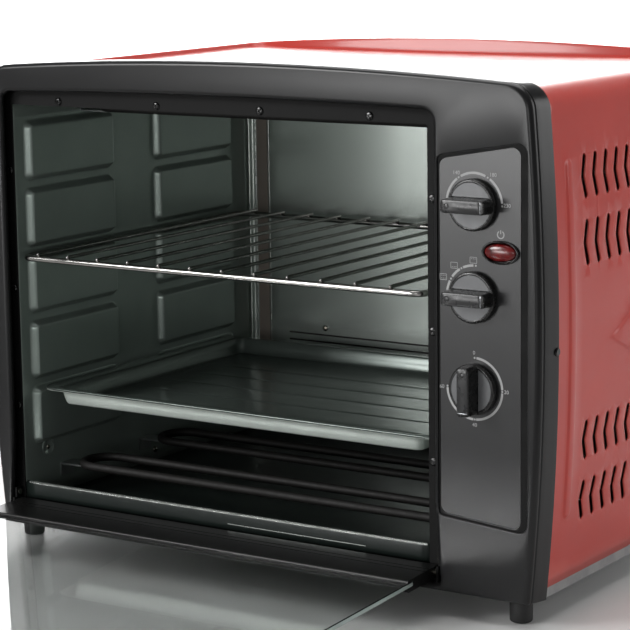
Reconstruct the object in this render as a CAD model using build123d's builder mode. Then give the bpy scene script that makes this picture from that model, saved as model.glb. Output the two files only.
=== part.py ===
from build123d import *
import math
import os

# Tabletop electric oven with its glass door open.
# Millimetres, +Z up. X runs to the right as seen from the front, +Y runs to the rear,
# and the origin is on the table under the middle of the oven with its open door.

os.makedirs("parts", exist_ok=True)

# Overall body
body_half_width = 257.0
body_height = 396.0
body_depth = 385.0
foot_height = 18.0
bulge_radius = 1850.0
bulge_height = 207.0
roof_radius = 3300.0
body_corner_radius = 22.0

# Front frame moulding (fascia)
fascia_depth = 19.5
fascia_draft = 5.8
fascia_face = 3.5
fascia_wall = 2.6
fascia_edge_radius = 2.5
fascia_corner_radius = 20.0

# Door opening in the fascia
opening_left = -231.0
opening_right = 166.0
opening_bottom = 24.0
opening_top = 367.0
opening_rise = 3.0
opening_corner = 9.0
flare_height = 84.0
flare_width = 4.0
jamb_step = 6.0
jamb_wall = 1.6
jamb_depth = 11.6

# Cavity
cavity_left = -229.0
cavity_right = 155.0
cavity_floor_rise = 12.0
cavity_floor_height = foot_height + cavity_floor_rise
cavity_top = 356.0
cavity_back = 342.0
sheet = 1.0
flange = 11.0
sill_bottom = 34.0
sill_top = 48.0
sill_roll = 2.2
rear_margin = 18.0
rear_press = 4.0
crease_width = 9.0
crease_rise = 1.4
crease_margin = 50.0

# Pressed guides in the side walls
guide_first = 121.0
guide_pitch = 54.3
guide_channel = 12.6
pad_proud = 6.0
pad_draft = 28.0
pad_corner = 8.0
front_pad_start = 24.0
front_pad_length = 113.0
rear_pad_start = 194.0
rear_pad_length = 113.0
pad_rows = 5

# Door
door_droop = 2.5
hinge_height = 31.0
hinge_setback = 4.5
door_thickness = 9.0
door_gap = 1.5
door_length = 334.5
door_heel = 4.2
door_corner = 9.0
lower_rail_width = 44.0
upper_rail_width = 30.0
glass_thickness = 4.0
glass_seat = 9.0
lip_proud = 8.0
lip_edge = 4.0
lip_edge_radius = 1.2
glass_inset = 0.5
rail_heel_radius = 2.0
rail_nose_radius = 1.4
rail_grooves = [9.0, 15.0]
rail_groove_width = 1.0
rail_groove_depth = 0.7
pin_radius = 2.5
running_clearance = 0.05
pin_grip = 12.0
ear_gap = 0.8
ear_thickness = 1.8
ear_low = 24.6
ear_step = 36.0
ear_high = 44.0

# Controls
control_x = 199.0
control_heights = {"temperature": 302.3, "function": 236.9, "timer": 170.9}
pointer_angle = {"temperature": 180.0, "function": 180.0, "timer": 90.0}
knob_radius = 18.5
knob_skirt = 5.2
knob_height = 17.5
grip_width = 11.4
grip_length = 36.6
face_radius = 16.0
face_recess = 1.2
shaft_radius = 3.0
shaft_grip = 11.0
shaft_hole_radius = 5.0
plate_thickness = 1.0
plate_recess = 2.5
ledge_recess = 1.2
plate_left = 171.0
plate_right = 236.0
ledge_right = 239.0
ledge_margin = 2.5
plate_top_left = 333.0
plate_bottom_left = 78.0
plate_top_slope = 10.0
plate_bottom_slope = 5.0
plate_corner = 6.0
lamp_x = 220.3
lamp_height = 269.8
lamp_width = 30.0
lamp_rise = 17.0
lamp_rim = 1.5
bezel_wall = 2.4
bezel_depth = 9.0
bracket_setback = 9.0
bracket_sheet = 1.2
bracket_left = 180.0
bracket_right = 237.0
bracket_low = 140.0
bracket_high = 330.0
neck_radius = 4.5
control_sizes = {"thermostat": (36.0, 38.0, 20.0), "function_switch": (40.0, 34.0, 26.0), "timer": (46.0, 46.0, 34.0)}
blade_width = 6.3
blade_length = 8.0
blade_thickness = 0.8
blade_pitch = 12.0
blade_counts = [2, 3, 3]
body_corner_small = 3.0
shaft_engagement = 15.0
bezel_lip = 2.2
lens_proud = 1.4
lamp_body_depth = 14.0
knob_edge = 0.8
grip_corner = 3.4
grip_draft = 3.0

# Outer housing
housing_sheet = 1.0
housing_bottom = 26.0
housing_overlap = 4.0
fit_gap = 0.3
roof_panel_height = 382.0
roof_band = 34.0
roof_recess_half = 224.0
slot_start = 64.0
slot_pitch = 17.0
slot_count = 9
slot_width = 3.6
slot_point = 4.0
slot_rows = [(302.0, 334.0), (254.0, 287.0), (112.0, 141.0), (67.0, 96.0)]
bead_start = 40.0
bead_width = 9.0
bead_low = 74.0
bead_high = 332.0
emboss = 1.4
lozenge_setback = 195.0
lozenge_height = 196.0
lozenge_half_length = 90.0
lozenge_half_height = 40.0
lozenge_corner = 6.0
roof_rear_band = 40.0
roof_recess_corner = 14.0

# Heating elements
heater_radius = 3.5
heater_bend = 19.0
lower_heater_height = 58.0
upper_heater_height = 348.5
lower_heater_setbacks = {"front": 65.0, "rear": 171.0}
upper_heater_setbacks = {"front": 105.0, "rear": 235.0}
heater_left = -205.0
bush_radius = 6.0
bush_collar = 6.5
bush_length = 6.0
bush_clearance = 0.1
terminal_length = 16.0
heater_tab = 16.0
tab_drop = 11.0
shield_gap = 16.0
shield_corner = 2.0
shield_low = 80.0
shield_high = 316.0
shield_front = 40.0

# Rack and tray
rack_width = 378.0
rack_front = 9.6
rack_depth = 308.0
rack_bar = 2.5
rack_wire = 1.5
rack_weld = 0.4
rack_wires = 12
rack_pitch = 30.0
rack_corner = 9.0
wire_offset = -4.5
tray_width = 378.0
tray_front = 30.0
tray_depth = 264.0
tray_bowl = 13.0
tray_flange = 16.0
tray_rim = 4.0
tray_sheet = 0.9
tray_corner = 14.0
bowl_corner = 8.0
tray_draft = 18.0
tray_groove_first = 54.5
tray_groove_pitch = 36.5
tray_groove_count = 5
tray_groove_width = 4.0
tray_groove_depth = 0.5
tray_groove_margin = 12.0

# Base plate and back panel
back_inset = 1.0
base_flange = 10.0
louvre_length = 60.0
louvre_width = 4.0
louvre_pitch_x = 110.0
louvre_pitch_y = 56.0
louvre_columns = 3
louvre_rows = 4
back_screw_rise = 5.5
back_screw_height = foot_height + back_screw_rise
back_screw_pitch = 180.0
back_screw_length = 4.0
back_slot_heights = [112.0, 306.0]
back_slot_pitch = 18.0
back_slot_count = 10
back_slot_length = 44.0

# Feet, screws and the lead inlet
foot_radius = 8.5
foot_spread = 227.0
foot_setback = 19.0
rear_foot_inset = 27.0
screw_radius = 1.5
screw_head = 3.2
screw_head_height = 1.5
top_screw_gap = 0.6
side_screw_gap = 0.9
side_screw_height = 200.0
gland_radius = 9.0
gland_neck = 7.0
gland_bore = 4.0
gland_length = 12.0
gland_x = 200.0
gland_height = 62.0
gland_lip = 3.0
foot_neck_rise = 2.0
foot_chamfer = 1.2
side_screw_length = 7.0
rivet_setback = 7.4
rivet_height = 40.0
rivet_head = 2.4

# Values that follow from the sizes above
half_thickness = door_thickness / 2
droop = math.radians(door_droop)
door_reach = door_length * math.cos(droop) + half_thickness * math.sin(droop) - hinge_setback
front_y = (door_reach - body_depth) / 2
cavity_width = cavity_right - cavity_left
cavity_mid = (cavity_left + cavity_right) / 2
cavity_front = jamb_depth + sheet
cavity_length = cavity_back - cavity_front
door_mid = (opening_left + opening_right) / 2
door_width = opening_right - opening_left - 2 * door_gap
housing_inset = fascia_wall + fit_gap
slot_middle = front_y + slot_start + (slot_pitch * (slot_count - 1) + slot_point + slot_width) / 2


def facing(setback):
    """The upright plane that lies a setback behind the fascia, seen from the front."""
    return Plane.XZ.offset(-(front_y + setback))


def side_x(height, cut):
    """Half width of the bulged side at a height, cut in from the widest outline."""
    radius = bulge_radius - cut
    return body_half_width - cut - radius + math.sqrt(radius**2 - (height - bulge_height) ** 2)


def roof_z(x, cut):
    """Height of the arched roof line at x, cut down from the highest outline."""
    radius = roof_radius - cut
    return body_height - cut - radius + math.sqrt(radius**2 - x**2)


def body_face(plane, side_cut, roof_cut, bottom, corner):
    """Face of the body's outline: bulged sides, arched roof, flat bottom."""
    top = roof_z(side_x(body_height, side_cut), roof_cut)
    shoulder = side_x(top, side_cut)
    middle = (bottom + top) / 2
    waist = side_x(middle, side_cut)
    base = side_x(bottom, side_cut)
    with BuildSketch(plane) as outline:
        with BuildLine():
            ThreePointArc((base, bottom), (waist, middle), (shoulder, top))
            ThreePointArc((shoulder, top), (0, roof_z(0, roof_cut)), (-shoulder, top))
            ThreePointArc((-shoulder, top), (-waist, middle), (-base, bottom))
            Line((-base, bottom), (base, bottom))
        make_face()
        fillet(outline.vertices().group_by(Axis.Y)[-1], corner)
    return outline.sketch


def opening_face(plane, grow, low):
    """Face of the door opening, grown at the sides and top, with its lower sides flared."""
    left = opening_left - grow
    right = opening_right + grow
    top = opening_top + grow
    with BuildSketch(plane) as outline:
        with BuildLine():
            Polyline(
                (left, top),
                (left, flare_height),
                (left - flare_width, low),
                (right + flare_width, low),
                (right, flare_height),
                (right, top),
            )
            ThreePointArc((right, top), (door_mid, top + opening_rise), (left, top))
        make_face()
        fillet(outline.vertices().group_by(Axis.Y)[-1], opening_corner)
    return outline.sketch


def control_face(plane, right, grow):
    """Face of the control panel: its top slopes up and its bottom down to the right."""
    width = right - plate_left
    rise = width * math.tan(math.radians(plate_top_slope))
    fall = width * math.tan(math.radians(plate_bottom_slope))
    with BuildSketch(plane) as outline:
        with BuildLine():
            Polyline(
                (plate_left - grow, plate_bottom_left - grow),
                (right + grow, plate_bottom_left - fall - grow),
                (right + grow, plate_top_left + rise + grow),
                (plate_left - grow, plate_top_left + grow),
                close=True,
            )
        make_face()
        fillet(outline.vertices(), plate_corner)
    return outline.sketch


def keep(builder, name):
    """Label a finished piece and write it."""
    builder.part.label = name
    export_step(builder.part, f"parts/{name}.step")


# Fascia: a drafted moulding that frames the opening and the controls
fascia_floor = foot_height + fascia_wall
jamb_reach = jamb_depth - fascia_face
rebate = fascia_depth - housing_overlap - fit_gap
inner_corner = fascia_corner_radius - fascia_wall
fascia_rim = (fascia_draft + fascia_edge_radius / 2, fascia_edge_radius / 2)
side_screw = (front_y + fascia_depth - housing_overlap / 2, side_screw_height)
side_screw_seat = side_x(side_screw_height, fascia_draft * housing_overlap / fascia_depth)
with BuildPart() as fascia_inside:
    rebate_cut = fascia_wall + fascia_draft * housing_overlap / fascia_depth
    roof_cut = fascia_wall + fit_gap
    loft(
        [
            body_face(facing(fascia_face), fascia_draft + fascia_wall, roof_cut, fascia_floor, inner_corner),
            body_face(facing(rebate), rebate_cut, roof_cut, fascia_floor, inner_corner),
        ]
    )
    extrude(
        body_face(facing(rebate), fascia_wall, fascia_wall, fascia_floor - fit_gap, inner_corner),
        amount=-(fascia_depth - rebate),
    )
with BuildPart() as fascia:
    edge_cut = fascia_draft * (1 - fascia_edge_radius / fascia_depth)
    loft(
        [
            body_face(facing(fascia_edge_radius), edge_cut, 0, foot_height, fascia_corner_radius),
            body_face(facing(fascia_depth), 0, 0, foot_height, body_corner_radius),
        ]
    )
    loft(
        [
            body_face(facing(0), *fascia_rim, foot_height + fascia_edge_radius / 2, inner_corner),
            body_face(facing(fascia_edge_radius), edge_cut, 0, foot_height, fascia_corner_radius),
        ]
    )
    add(fascia_inside.part, mode=Mode.SUBTRACT)
    extrude(opening_face(facing(fascia_face), jamb_step + jamb_wall, opening_bottom - jamb_wall), amount=-jamb_reach)
    extrude(opening_face(facing(fascia_face), jamb_step, opening_bottom), amount=-jamb_reach, mode=Mode.SUBTRACT)
    extrude(opening_face(facing(0), 0, opening_bottom), amount=-jamb_depth, mode=Mode.SUBTRACT)
    extrude(control_face(facing(0), ledge_right, ledge_margin), amount=-ledge_recess, mode=Mode.SUBTRACT)
    extrude(control_face(facing(0), plate_right, fit_gap), amount=-plate_recess, mode=Mode.SUBTRACT)
    with BuildSketch(facing(0)):
        with Locations(*[(control_x, height) for height in control_heights.values()]):
            Circle(shaft_hole_radius)
        with Locations((lamp_x, lamp_height)):
            Ellipse(lamp_width / 2 - lamp_rim, lamp_rise / 2 - lamp_rim)
    extrude(amount=-fascia_face, mode=Mode.SUBTRACT)
    with BuildSketch(Plane.YZ.offset(-body_half_width)):
        with Locations(side_screw):
            Circle(screw_radius)
    extrude(amount=2 * body_half_width, mode=Mode.SUBTRACT)
    for side in (1, -1):
        with BuildSketch(Plane.YZ.offset(side * side_screw_seat)):
            with Locations(side_screw):
                Circle(screw_head + fit_gap)
        extrude(amount=side * fascia_draft, mode=Mode.SUBTRACT)
keep(fascia, "fascia")

# Control plate: the thin trim that the knobs and the lamp stand on
with BuildPart() as control_plate:
    extrude(control_face(facing(plate_recess), plate_right, 0), amount=plate_thickness)
    with BuildSketch(facing(plate_recess)):
        with Locations(*[(control_x, height) for height in control_heights.values()]):
            Circle(shaft_hole_radius)
        with Locations((lamp_x, lamp_height)):
            Ellipse(lamp_width / 2 - lamp_rim, lamp_rise / 2 - lamp_rim)
    extrude(amount=plate_thickness, mode=Mode.SUBTRACT)
keep(control_plate, "control_plate")

# Front frame: the black steel ring between the fascia and the cavity, which the door closes against
frame_left = opening_left - jamb_step - jamb_wall
frame_right = opening_right + jamb_step + jamb_wall
frame_low = foot_height + fascia_wall + fit_gap
frame_high = opening_top + jamb_step + jamb_wall
top_screw_height = cavity_top + screw_head + top_screw_gap
flange_screw = screw_head + side_screw_gap
left_screw_x = cavity_left - flange_screw
right_screw_x = cavity_right + flange_screw
screw_rise = cavity_width / 4
with BuildPart() as front_frame:
    with BuildSketch(facing(jamb_depth)):
        with Locations(((frame_left + frame_right) / 2, (frame_low + frame_high) / 2)):
            Rectangle(frame_right - frame_left, frame_high - frame_low)
        with Locations((cavity_mid, (sill_bottom + cavity_top) / 2)):
            Rectangle(cavity_width, cavity_top - sill_bottom, mode=Mode.SUBTRACT)
        with Locations((cavity_mid, top_screw_height)):
            with GridLocations(screw_rise, 1, 4, 1):
                Circle(screw_radius, mode=Mode.SUBTRACT)
        with Locations((left_screw_x, bulge_height), (right_screw_x, bulge_height)):
            with GridLocations(1, screw_rise, 1, 3):
                Circle(screw_radius, mode=Mode.SUBTRACT)
    extrude(amount=-sheet)
keep(front_frame, "front_frame")

# Screws that hold the cavity flanges to the front frame
with BuildPart() as frame_screws:
    for plane, radius, reach in [
        (facing(jamb_depth), screw_head, screw_head_height),
        (facing(jamb_depth), screw_radius, -2 * sheet),
    ]:
        with BuildSketch(plane):
            with Locations((cavity_mid, top_screw_height)):
                with GridLocations(screw_rise, 1, 4, 1):
                    Circle(radius)
            with Locations((left_screw_x, bulge_height), (right_screw_x, bulge_height)):
                with GridLocations(1, screw_rise, 1, 3):
                    Circle(radius)
        extrude(amount=reach)
    chamfer(frame_screws.faces().group_by(Axis.Y)[0].edges(), screw_head_height / 2)
keep(frame_screws, "frame_screws")


pad_slope = math.tan(math.radians(pad_draft))
pad_height = guide_pitch - guide_channel + 2 * pad_proud * pad_slope
pad_middle = guide_first + pad_proud * pad_slope - pad_height / 2 + guide_pitch * (pad_rows - 1) / 2
pad_shrink = 2 * sheet * pad_slope
wall_middle = (cavity_floor_height + cavity_top) / 2
wall_rise = cavity_top - cavity_floor_height
upper_heaters = [(setback, upper_heater_height) for setback in upper_heater_setbacks.values()]
lower_heaters = [(setback, lower_heater_height) for setback in lower_heater_setbacks.values()]
heater_ends = [
    (front_y + setback + side * heater_bend, height)
    for setback, height in lower_heaters + upper_heaters
    for side in (1, -1)
]


def side_wall(x, inward):
    """A cavity side: flat sheet, front flange, and two columns of pressed pads that carry the racks."""
    inner_face = Plane(origin=(x, 0, 0), x_dir=(0, inward, 0), z_dir=(inward, 0, 0))
    with BuildPart() as wall:
        with BuildSketch(inner_face):
            with Locations((inward * (front_y + (cavity_front + cavity_back) / 2), wall_middle)):
                Rectangle(cavity_length, wall_rise)
        extrude(amount=-sheet)
        with BuildSketch(facing(cavity_front)):
            with Locations((x - inward * flange / 2, wall_middle)):
                Rectangle(flange, wall_rise)
            with Locations((x - inward * flange_screw, bulge_height)):
                with GridLocations(1, screw_rise, 1, 3):
                    Circle(screw_radius, mode=Mode.SUBTRACT)
        extrude(amount=-sheet)
        for back, shrink, mode in [(0, 0, Mode.ADD), (-sheet, pad_shrink, Mode.SUBTRACT)]:
            for start, length in [(front_pad_start, front_pad_length), (rear_pad_start, rear_pad_length)]:
                with BuildSketch(inner_face.offset(back)):
                    with Locations((inward * (front_y + start + length / 2), pad_middle)):
                        with GridLocations(1, guide_pitch, 1, pad_rows):
                            RectangleRounded(length - shrink, pad_height - shrink, pad_corner)
                extrude(amount=pad_proud, taper=pad_draft, mode=mode)
    return wall


cavity_left_wall = side_wall(cavity_left, 1)
keep(cavity_left_wall, "cavity_left_wall")

# Right cavity side, bored for the insulating bushes of the heating elements
with BuildPart() as cavity_right_wall:
    add(side_wall(cavity_right, -1).part)
    with BuildSketch(Plane.YZ.offset(cavity_right)):
        with Locations(*heater_ends):
            Circle(bush_radius)
    extrude(amount=sheet, mode=Mode.SUBTRACT)
keep(cavity_right_wall, "cavity_right_wall")

# Cavity ceiling with its front flange
box_width = cavity_width + 2 * sheet
with BuildPart() as cavity_ceiling:
    with BuildSketch(Plane.XY.offset(cavity_top)):
        with Locations((cavity_mid, front_y + cavity_front + (cavity_length + sheet) / 2)):
            Rectangle(box_width, cavity_length + sheet)
    extrude(amount=sheet)
    with BuildSketch(facing(cavity_front)):
        with Locations((cavity_mid, cavity_top + flange / 2)):
            Rectangle(box_width, flange)
        with Locations((cavity_mid, top_screw_height)):
            with GridLocations(screw_rise, 1, 4, 1):
                Circle(screw_radius, mode=Mode.SUBTRACT)
    extrude(amount=-sheet)
keep(cavity_ceiling, "cavity_ceiling")

# Cavity rear wall with its pressed panel
with BuildPart() as cavity_rear_wall:
    with BuildSketch(facing(cavity_back)):
        with Locations((cavity_mid, wall_middle)):
            Rectangle(box_width, wall_rise)
    extrude(amount=-sheet)
    for back, shrink, mode in [(sheet, 0, Mode.ADD), (0, pad_shrink, Mode.SUBTRACT)]:
        with BuildSketch(facing(cavity_back + back)):
            with Locations((cavity_mid, wall_middle)):
                RectangleRounded(
                    cavity_width - 2 * rear_margin - shrink, wall_rise - 2 * rear_margin - shrink, pad_corner
                )
        extrude(amount=-rear_press, taper=pad_draft, mode=mode)
keep(cavity_rear_wall, "cavity_rear_wall")

# Cavity floor: cross-creased pan whose front edge rises to a rolled sill
floor_middle = front_y + cavity_front + (cavity_length + sheet) / 2
crease_angle = math.degrees(math.atan2(cavity_length, cavity_width))
crease_length = math.hypot(cavity_width, cavity_length) - 2 * crease_margin
with BuildPart() as cavity_floor:
    with BuildSketch(Plane.XY.offset(cavity_floor_height - sheet)):
        with Locations((cavity_mid, floor_middle)):
            Rectangle(box_width, cavity_length + sheet)
    extrude(amount=sheet)
    for drop, shrink, mode in [(0, 0, Mode.ADD), (sheet, sheet, Mode.SUBTRACT)]:
        with BuildSketch(Plane.XY.offset(cavity_floor_height - drop)):
            with Locations((cavity_mid, floor_middle)):
                for angle in (crease_angle, -crease_angle):
                    SlotOverall(crease_length - shrink, crease_width - shrink, rotation=angle)
        extrude(amount=crease_rise, taper=pad_draft, mode=mode)
    with BuildSketch(Plane.YZ.offset(cavity_left)):
        with Locations((front_y + cavity_front + sheet / 2, (cavity_floor_height + sill_top - sill_roll) / 2)):
            Rectangle(sheet, sill_top - sill_roll - cavity_floor_height)
        with Locations((front_y + cavity_front + sill_roll, sill_top - sill_roll)):
            Circle(sill_roll)
    extrude(amount=cavity_width)
keep(cavity_floor, "cavity_floor")


def heater(setback, height):
    """A hairpin heating element: two runs along X joined by a bend at the left."""
    right = cavity_right + sheet + terminal_length
    middle = front_y + setback
    bend_x = heater_left + heater_bend
    with BuildPart() as element:
        with BuildLine(Plane.XY.offset(height)) as route:
            Line((right, middle - heater_bend), (bend_x, middle - heater_bend))
            ThreePointArc(
                (bend_x, middle - heater_bend), (heater_left, middle), (bend_x, middle + heater_bend)
            )
            Line((bend_x, middle + heater_bend), (right, middle + heater_bend))
        with BuildSketch(Plane(origin=route.line @ 0, z_dir=route.line % 0)):
            Circle(heater_radius)
        sweep()
    return element


for place, setback in lower_heater_setbacks.items():
    keep(heater(setback, lower_heater_height), f"lower_heater_{place}")
for place, setback in upper_heater_setbacks.items():
    keep(heater(setback, upper_heater_height), f"upper_heater_{place}")

# Insulating bushes that carry the elements through the right side
with BuildPart() as heater_bushes:
    for start, radius, length in [
        (cavity_right - 2 * sheet, bush_collar, 2 * sheet),
        (cavity_right, bush_radius, bush_length),
    ]:
        with BuildSketch(Plane.YZ.offset(start)):
            with Locations(*heater_ends):
                Circle(radius)
                Circle(heater_radius + bush_clearance, mode=Mode.SUBTRACT)
        extrude(amount=length)
keep(heater_bushes, "heater_bushes")

# Angle tabs on the left side under the elements' bends
with BuildPart() as heater_tabs:
    for setback, height in lower_heaters + upper_heaters:
        top = height - heater_radius - fit_gap
        leg = top + tab_drop if height > wall_middle else top - tab_drop
        with BuildSketch(facing(setback - heater_tab / 2)):
            with BuildLine():
                Polyline(
                    (cavity_left, top - bracket_sheet),
                    (heater_left + heater_radius, top - bracket_sheet),
                    (heater_left + heater_radius, top),
                    (cavity_left, top),
                    close=True,
                )
            make_face()
            with Locations((cavity_left + bracket_sheet / 2, (top - bracket_sheet / 2 + leg) / 2)):
                Rectangle(bracket_sheet, abs(leg - top + bracket_sheet / 2))
        extrude(amount=-heater_tab)
keep(heater_tabs, "heater_tabs")

# Heat shield: a shallow pan between the cavity and the controls
with BuildPart() as heat_shield:
    with BuildSketch(Plane.YZ.offset(cavity_right + sheet)):
        with Locations((front_y + (shield_front + cavity_back) / 2, (shield_low + shield_high) / 2)):
            Rectangle(cavity_back - shield_front, shield_high - shield_low)
    extrude(amount=shield_gap)
    fillet(heat_shield.edges().filter_by(Axis.X), shield_corner)
    offset(amount=-sheet, openings=heat_shield.faces().sort_by(Axis.X)[0])
keep(heat_shield, "heat_shield")

# Wire rack: a closed bar frame with wires welded on top
bar_setin = (cavity_width - rack_width) / 2 + rack_bar
bar_seat = (rack_bar + fit_gap) / math.cos(math.radians(pad_draft))
bar_height = guide_first + 2 * guide_pitch + (pad_proud - bar_setin) * pad_slope + bar_seat
wire_height = bar_height + rack_bar + rack_wire - rack_weld
with BuildPart() as wire_rack:
    with BuildSketch(Plane.XY.offset(bar_height), mode=Mode.PRIVATE) as loop:
        with Locations((cavity_mid, front_y + rack_front + rack_depth / 2)):
            RectangleRounded(rack_width - 2 * rack_bar, rack_depth - 2 * rack_bar, rack_corner)
    frame_path = loop.sketch.faces()[0].outer_wire()
    with BuildSketch(Plane(origin=frame_path @ 0, z_dir=frame_path % 0)):
        Circle(rack_bar)
    sweep(path=frame_path)
    with BuildSketch(facing(rack_front)):
        with Locations((cavity_mid + wire_offset, wire_height)):
            with GridLocations(rack_pitch, 1, rack_wires, 1):
                Circle(rack_wire)
    extrude(amount=-rack_depth)
keep(wire_rack, "wire_rack")

# Baking tray: drafted bowl under a flat rim that runs in the guides, with cross grooves in its floor
rim_setin = (cavity_width - tray_width) / 2
rim_height = guide_first + (pad_proud - rim_setin) * pad_slope + fit_gap
bowl_taper = tray_bowl * math.tan(math.radians(tray_draft))
groove_length = tray_width - 2 * (tray_flange + bowl_taper + tray_groove_margin)
groove_middle = tray_groove_first + tray_groove_pitch * (tray_groove_count - 1) / 2
with BuildPart() as baking_tray:
    with BuildSketch(Plane.XY.offset(rim_height)):
        with Locations((cavity_mid, front_y + tray_front + tray_depth / 2)):
            RectangleRounded(tray_width, tray_depth, tray_corner)
    extrude(amount=tray_sheet)
    for height, shrink, mode in [(rim_height, 0, Mode.ADD), (rim_height + tray_sheet, tray_sheet, Mode.SUBTRACT)]:
        with BuildSketch(Plane.XY.offset(height)):
            with Locations((cavity_mid, front_y + tray_front + tray_depth / 2)):
                RectangleRounded(
                    tray_width - 2 * (tray_flange + shrink / 2),
                    tray_depth - 2 * (tray_rim + shrink / 2),
                    bowl_corner,
                )
        extrude(amount=-tray_bowl, taper=tray_draft, mode=mode)
    for height, width, mode in [
        (rim_height - tray_bowl, tray_groove_width, Mode.ADD),
        (rim_height - tray_bowl + tray_sheet, tray_groove_width - 2 * tray_groove_depth, Mode.SUBTRACT),
    ]:
        with BuildSketch(Plane.XY.offset(height)):
            with Locations((cavity_mid, front_y + tray_front + groove_middle)):
                with GridLocations(1, tray_groove_pitch, 1, tray_groove_count):
                    Rectangle(groove_length, width)
        extrude(amount=-tray_groove_depth, mode=mode)
keep(baking_tray, "baking_tray")

# Base plate: a louvred pan that closes the underside and carries the feet
base_front = fascia_depth + fit_gap
base_rear = body_depth - back_inset - housing_sheet
base_half = side_x(housing_bottom, housing_inset + housing_sheet) - fit_gap
base_middle = front_y + (base_front + base_rear) / 2
with BuildPart() as base_plate:
    with BuildSketch(Plane.XY.offset(foot_height)):
        with Locations((0, base_middle)):
            Rectangle(2 * base_half, base_rear - base_front)
    extrude(amount=base_flange)
    offset(amount=-housing_sheet, openings=base_plate.faces().sort_by(Axis.Z)[-1])
    with BuildSketch(Plane.XY.offset(foot_height)):
        with Locations((0, base_middle)):
            with GridLocations(louvre_pitch_x, louvre_pitch_y, louvre_columns, louvre_rows):
                SlotOverall(louvre_length, louvre_width)
    extrude(amount=housing_sheet, mode=Mode.SUBTRACT)
    with BuildSketch(facing(base_rear)):
        with Locations((0, back_screw_height)):
            with GridLocations(back_screw_pitch, 1, 3, 1):
                Circle(screw_radius)
    extrude(amount=housing_sheet, mode=Mode.SUBTRACT)
keep(base_plate, "base_plate")


def side_emboss(shrink):
    """Outline of the bead and the lozenge that are pressed out of the sides."""
    with BuildSketch(Plane.YZ) as outline:
        with Locations((front_y + bead_start + bead_width / 2, (bead_low + bead_high) / 2)):
            SlotOverall(bead_high - bead_low - shrink, bead_width - shrink, rotation=90)
        with BuildSketch(mode=Mode.PRIVATE) as lozenge:
            with BuildLine():
                Polyline(
                    (-lozenge_half_length, 0),
                    (0, -lozenge_half_height),
                    (lozenge_half_length, 0),
                    (0, lozenge_half_height),
                    close=True,
                )
            make_face()
            fillet(lozenge.vertices(), lozenge_corner)
            offset(amount=-shrink / 2)
        with Locations((front_y + lozenge_setback, lozenge_height)):
            add(lozenge.sketch)
    return outline.sketch


def raised_sides(cut, shrink):
    """The parts of a body outline that lie under the bead and the lozenge."""
    with BuildPart() as raised:
        start = fascia_depth + fit_gap
        corner = body_corner_radius - housing_inset
        extrude(body_face(facing(start), cut, cut, housing_bottom, corner), amount=-(body_depth - start))
        extrude(side_emboss(shrink), amount=body_half_width, both=True, mode=Mode.INTERSECT)
    return raised.part


# Outer housing: one sheet wrapped over the sides and roof
housing_front = fascia_depth - housing_overlap
housing_length = body_depth - housing_front
housing_corner = body_corner_radius - housing_inset
recess_length = body_depth - roof_band - roof_rear_band
recess_middle = front_y + roof_band + recess_length / 2
chevron = [
    (slot_point, 1),
    (0, 0),
    (slot_point, -1),
    (slot_point + slot_width, -1),
    (slot_width, 0),
    (slot_point + slot_width, 1),
]
with BuildPart() as housing_core:
    inner_cut = housing_inset + housing_sheet
    extrude(
        body_face(facing(housing_front), inner_cut, inner_cut, housing_bottom, housing_corner - housing_sheet),
        amount=-housing_length,
    )
    with BuildSketch(Plane.XY.offset(roof_panel_height - housing_sheet)):
        with Locations((0, recess_middle)):
            RectangleRounded(
                2 * (roof_recess_half + housing_sheet), recess_length + 2 * housing_sheet, roof_recess_corner
            )
    extrude(amount=body_height - roof_panel_height, mode=Mode.SUBTRACT)
    add(raised_sides(inner_cut - emboss, housing_sheet))
with BuildPart() as outer_housing:
    extrude(
        body_face(facing(housing_front), housing_inset, housing_inset, housing_bottom, housing_corner),
        amount=-housing_length,
    )
    with BuildSketch(Plane.XY.offset(roof_panel_height)):
        with Locations((0, recess_middle)):
            RectangleRounded(2 * roof_recess_half, recess_length, roof_recess_corner)
    extrude(amount=body_height - roof_panel_height, mode=Mode.SUBTRACT)
    add(raised_sides(housing_inset - emboss, 0))
    add(housing_core.part, mode=Mode.SUBTRACT)
    with BuildSketch(Plane.YZ.offset(-body_half_width)):
        for low, high in slot_rows:
            rise = (high - low) / 2
            with Locations((slot_middle, (low + high) / 2)):
                with GridLocations(slot_pitch, 1, slot_count, 1):
                    Polygon(*[(across, up * rise) for across, up in chevron])
        with Locations(side_screw):
            Circle(screw_radius)
    extrude(amount=2 * body_half_width, mode=Mode.SUBTRACT)
keep(outer_housing, "outer_housing")

# Side screws that hold the housing to the fascia
with BuildPart() as side_screws:
    for side in (1, -1):
        with BuildSketch(Plane.YZ.offset(side * side_screw_seat)):
            with Locations(side_screw):
                Circle(screw_head)
        extrude(amount=side * screw_head_height)
        with BuildSketch(Plane.YZ.offset(side * side_screw_seat)):
            with Locations(side_screw):
                Circle(screw_radius)
        extrude(amount=-side * side_screw_length)
    for outer_end in (0, -1):
        chamfer(side_screws.faces().group_by(Axis.X)[outer_end].edges(), screw_head_height / 2)
keep(side_screws, "side_screws")

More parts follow.
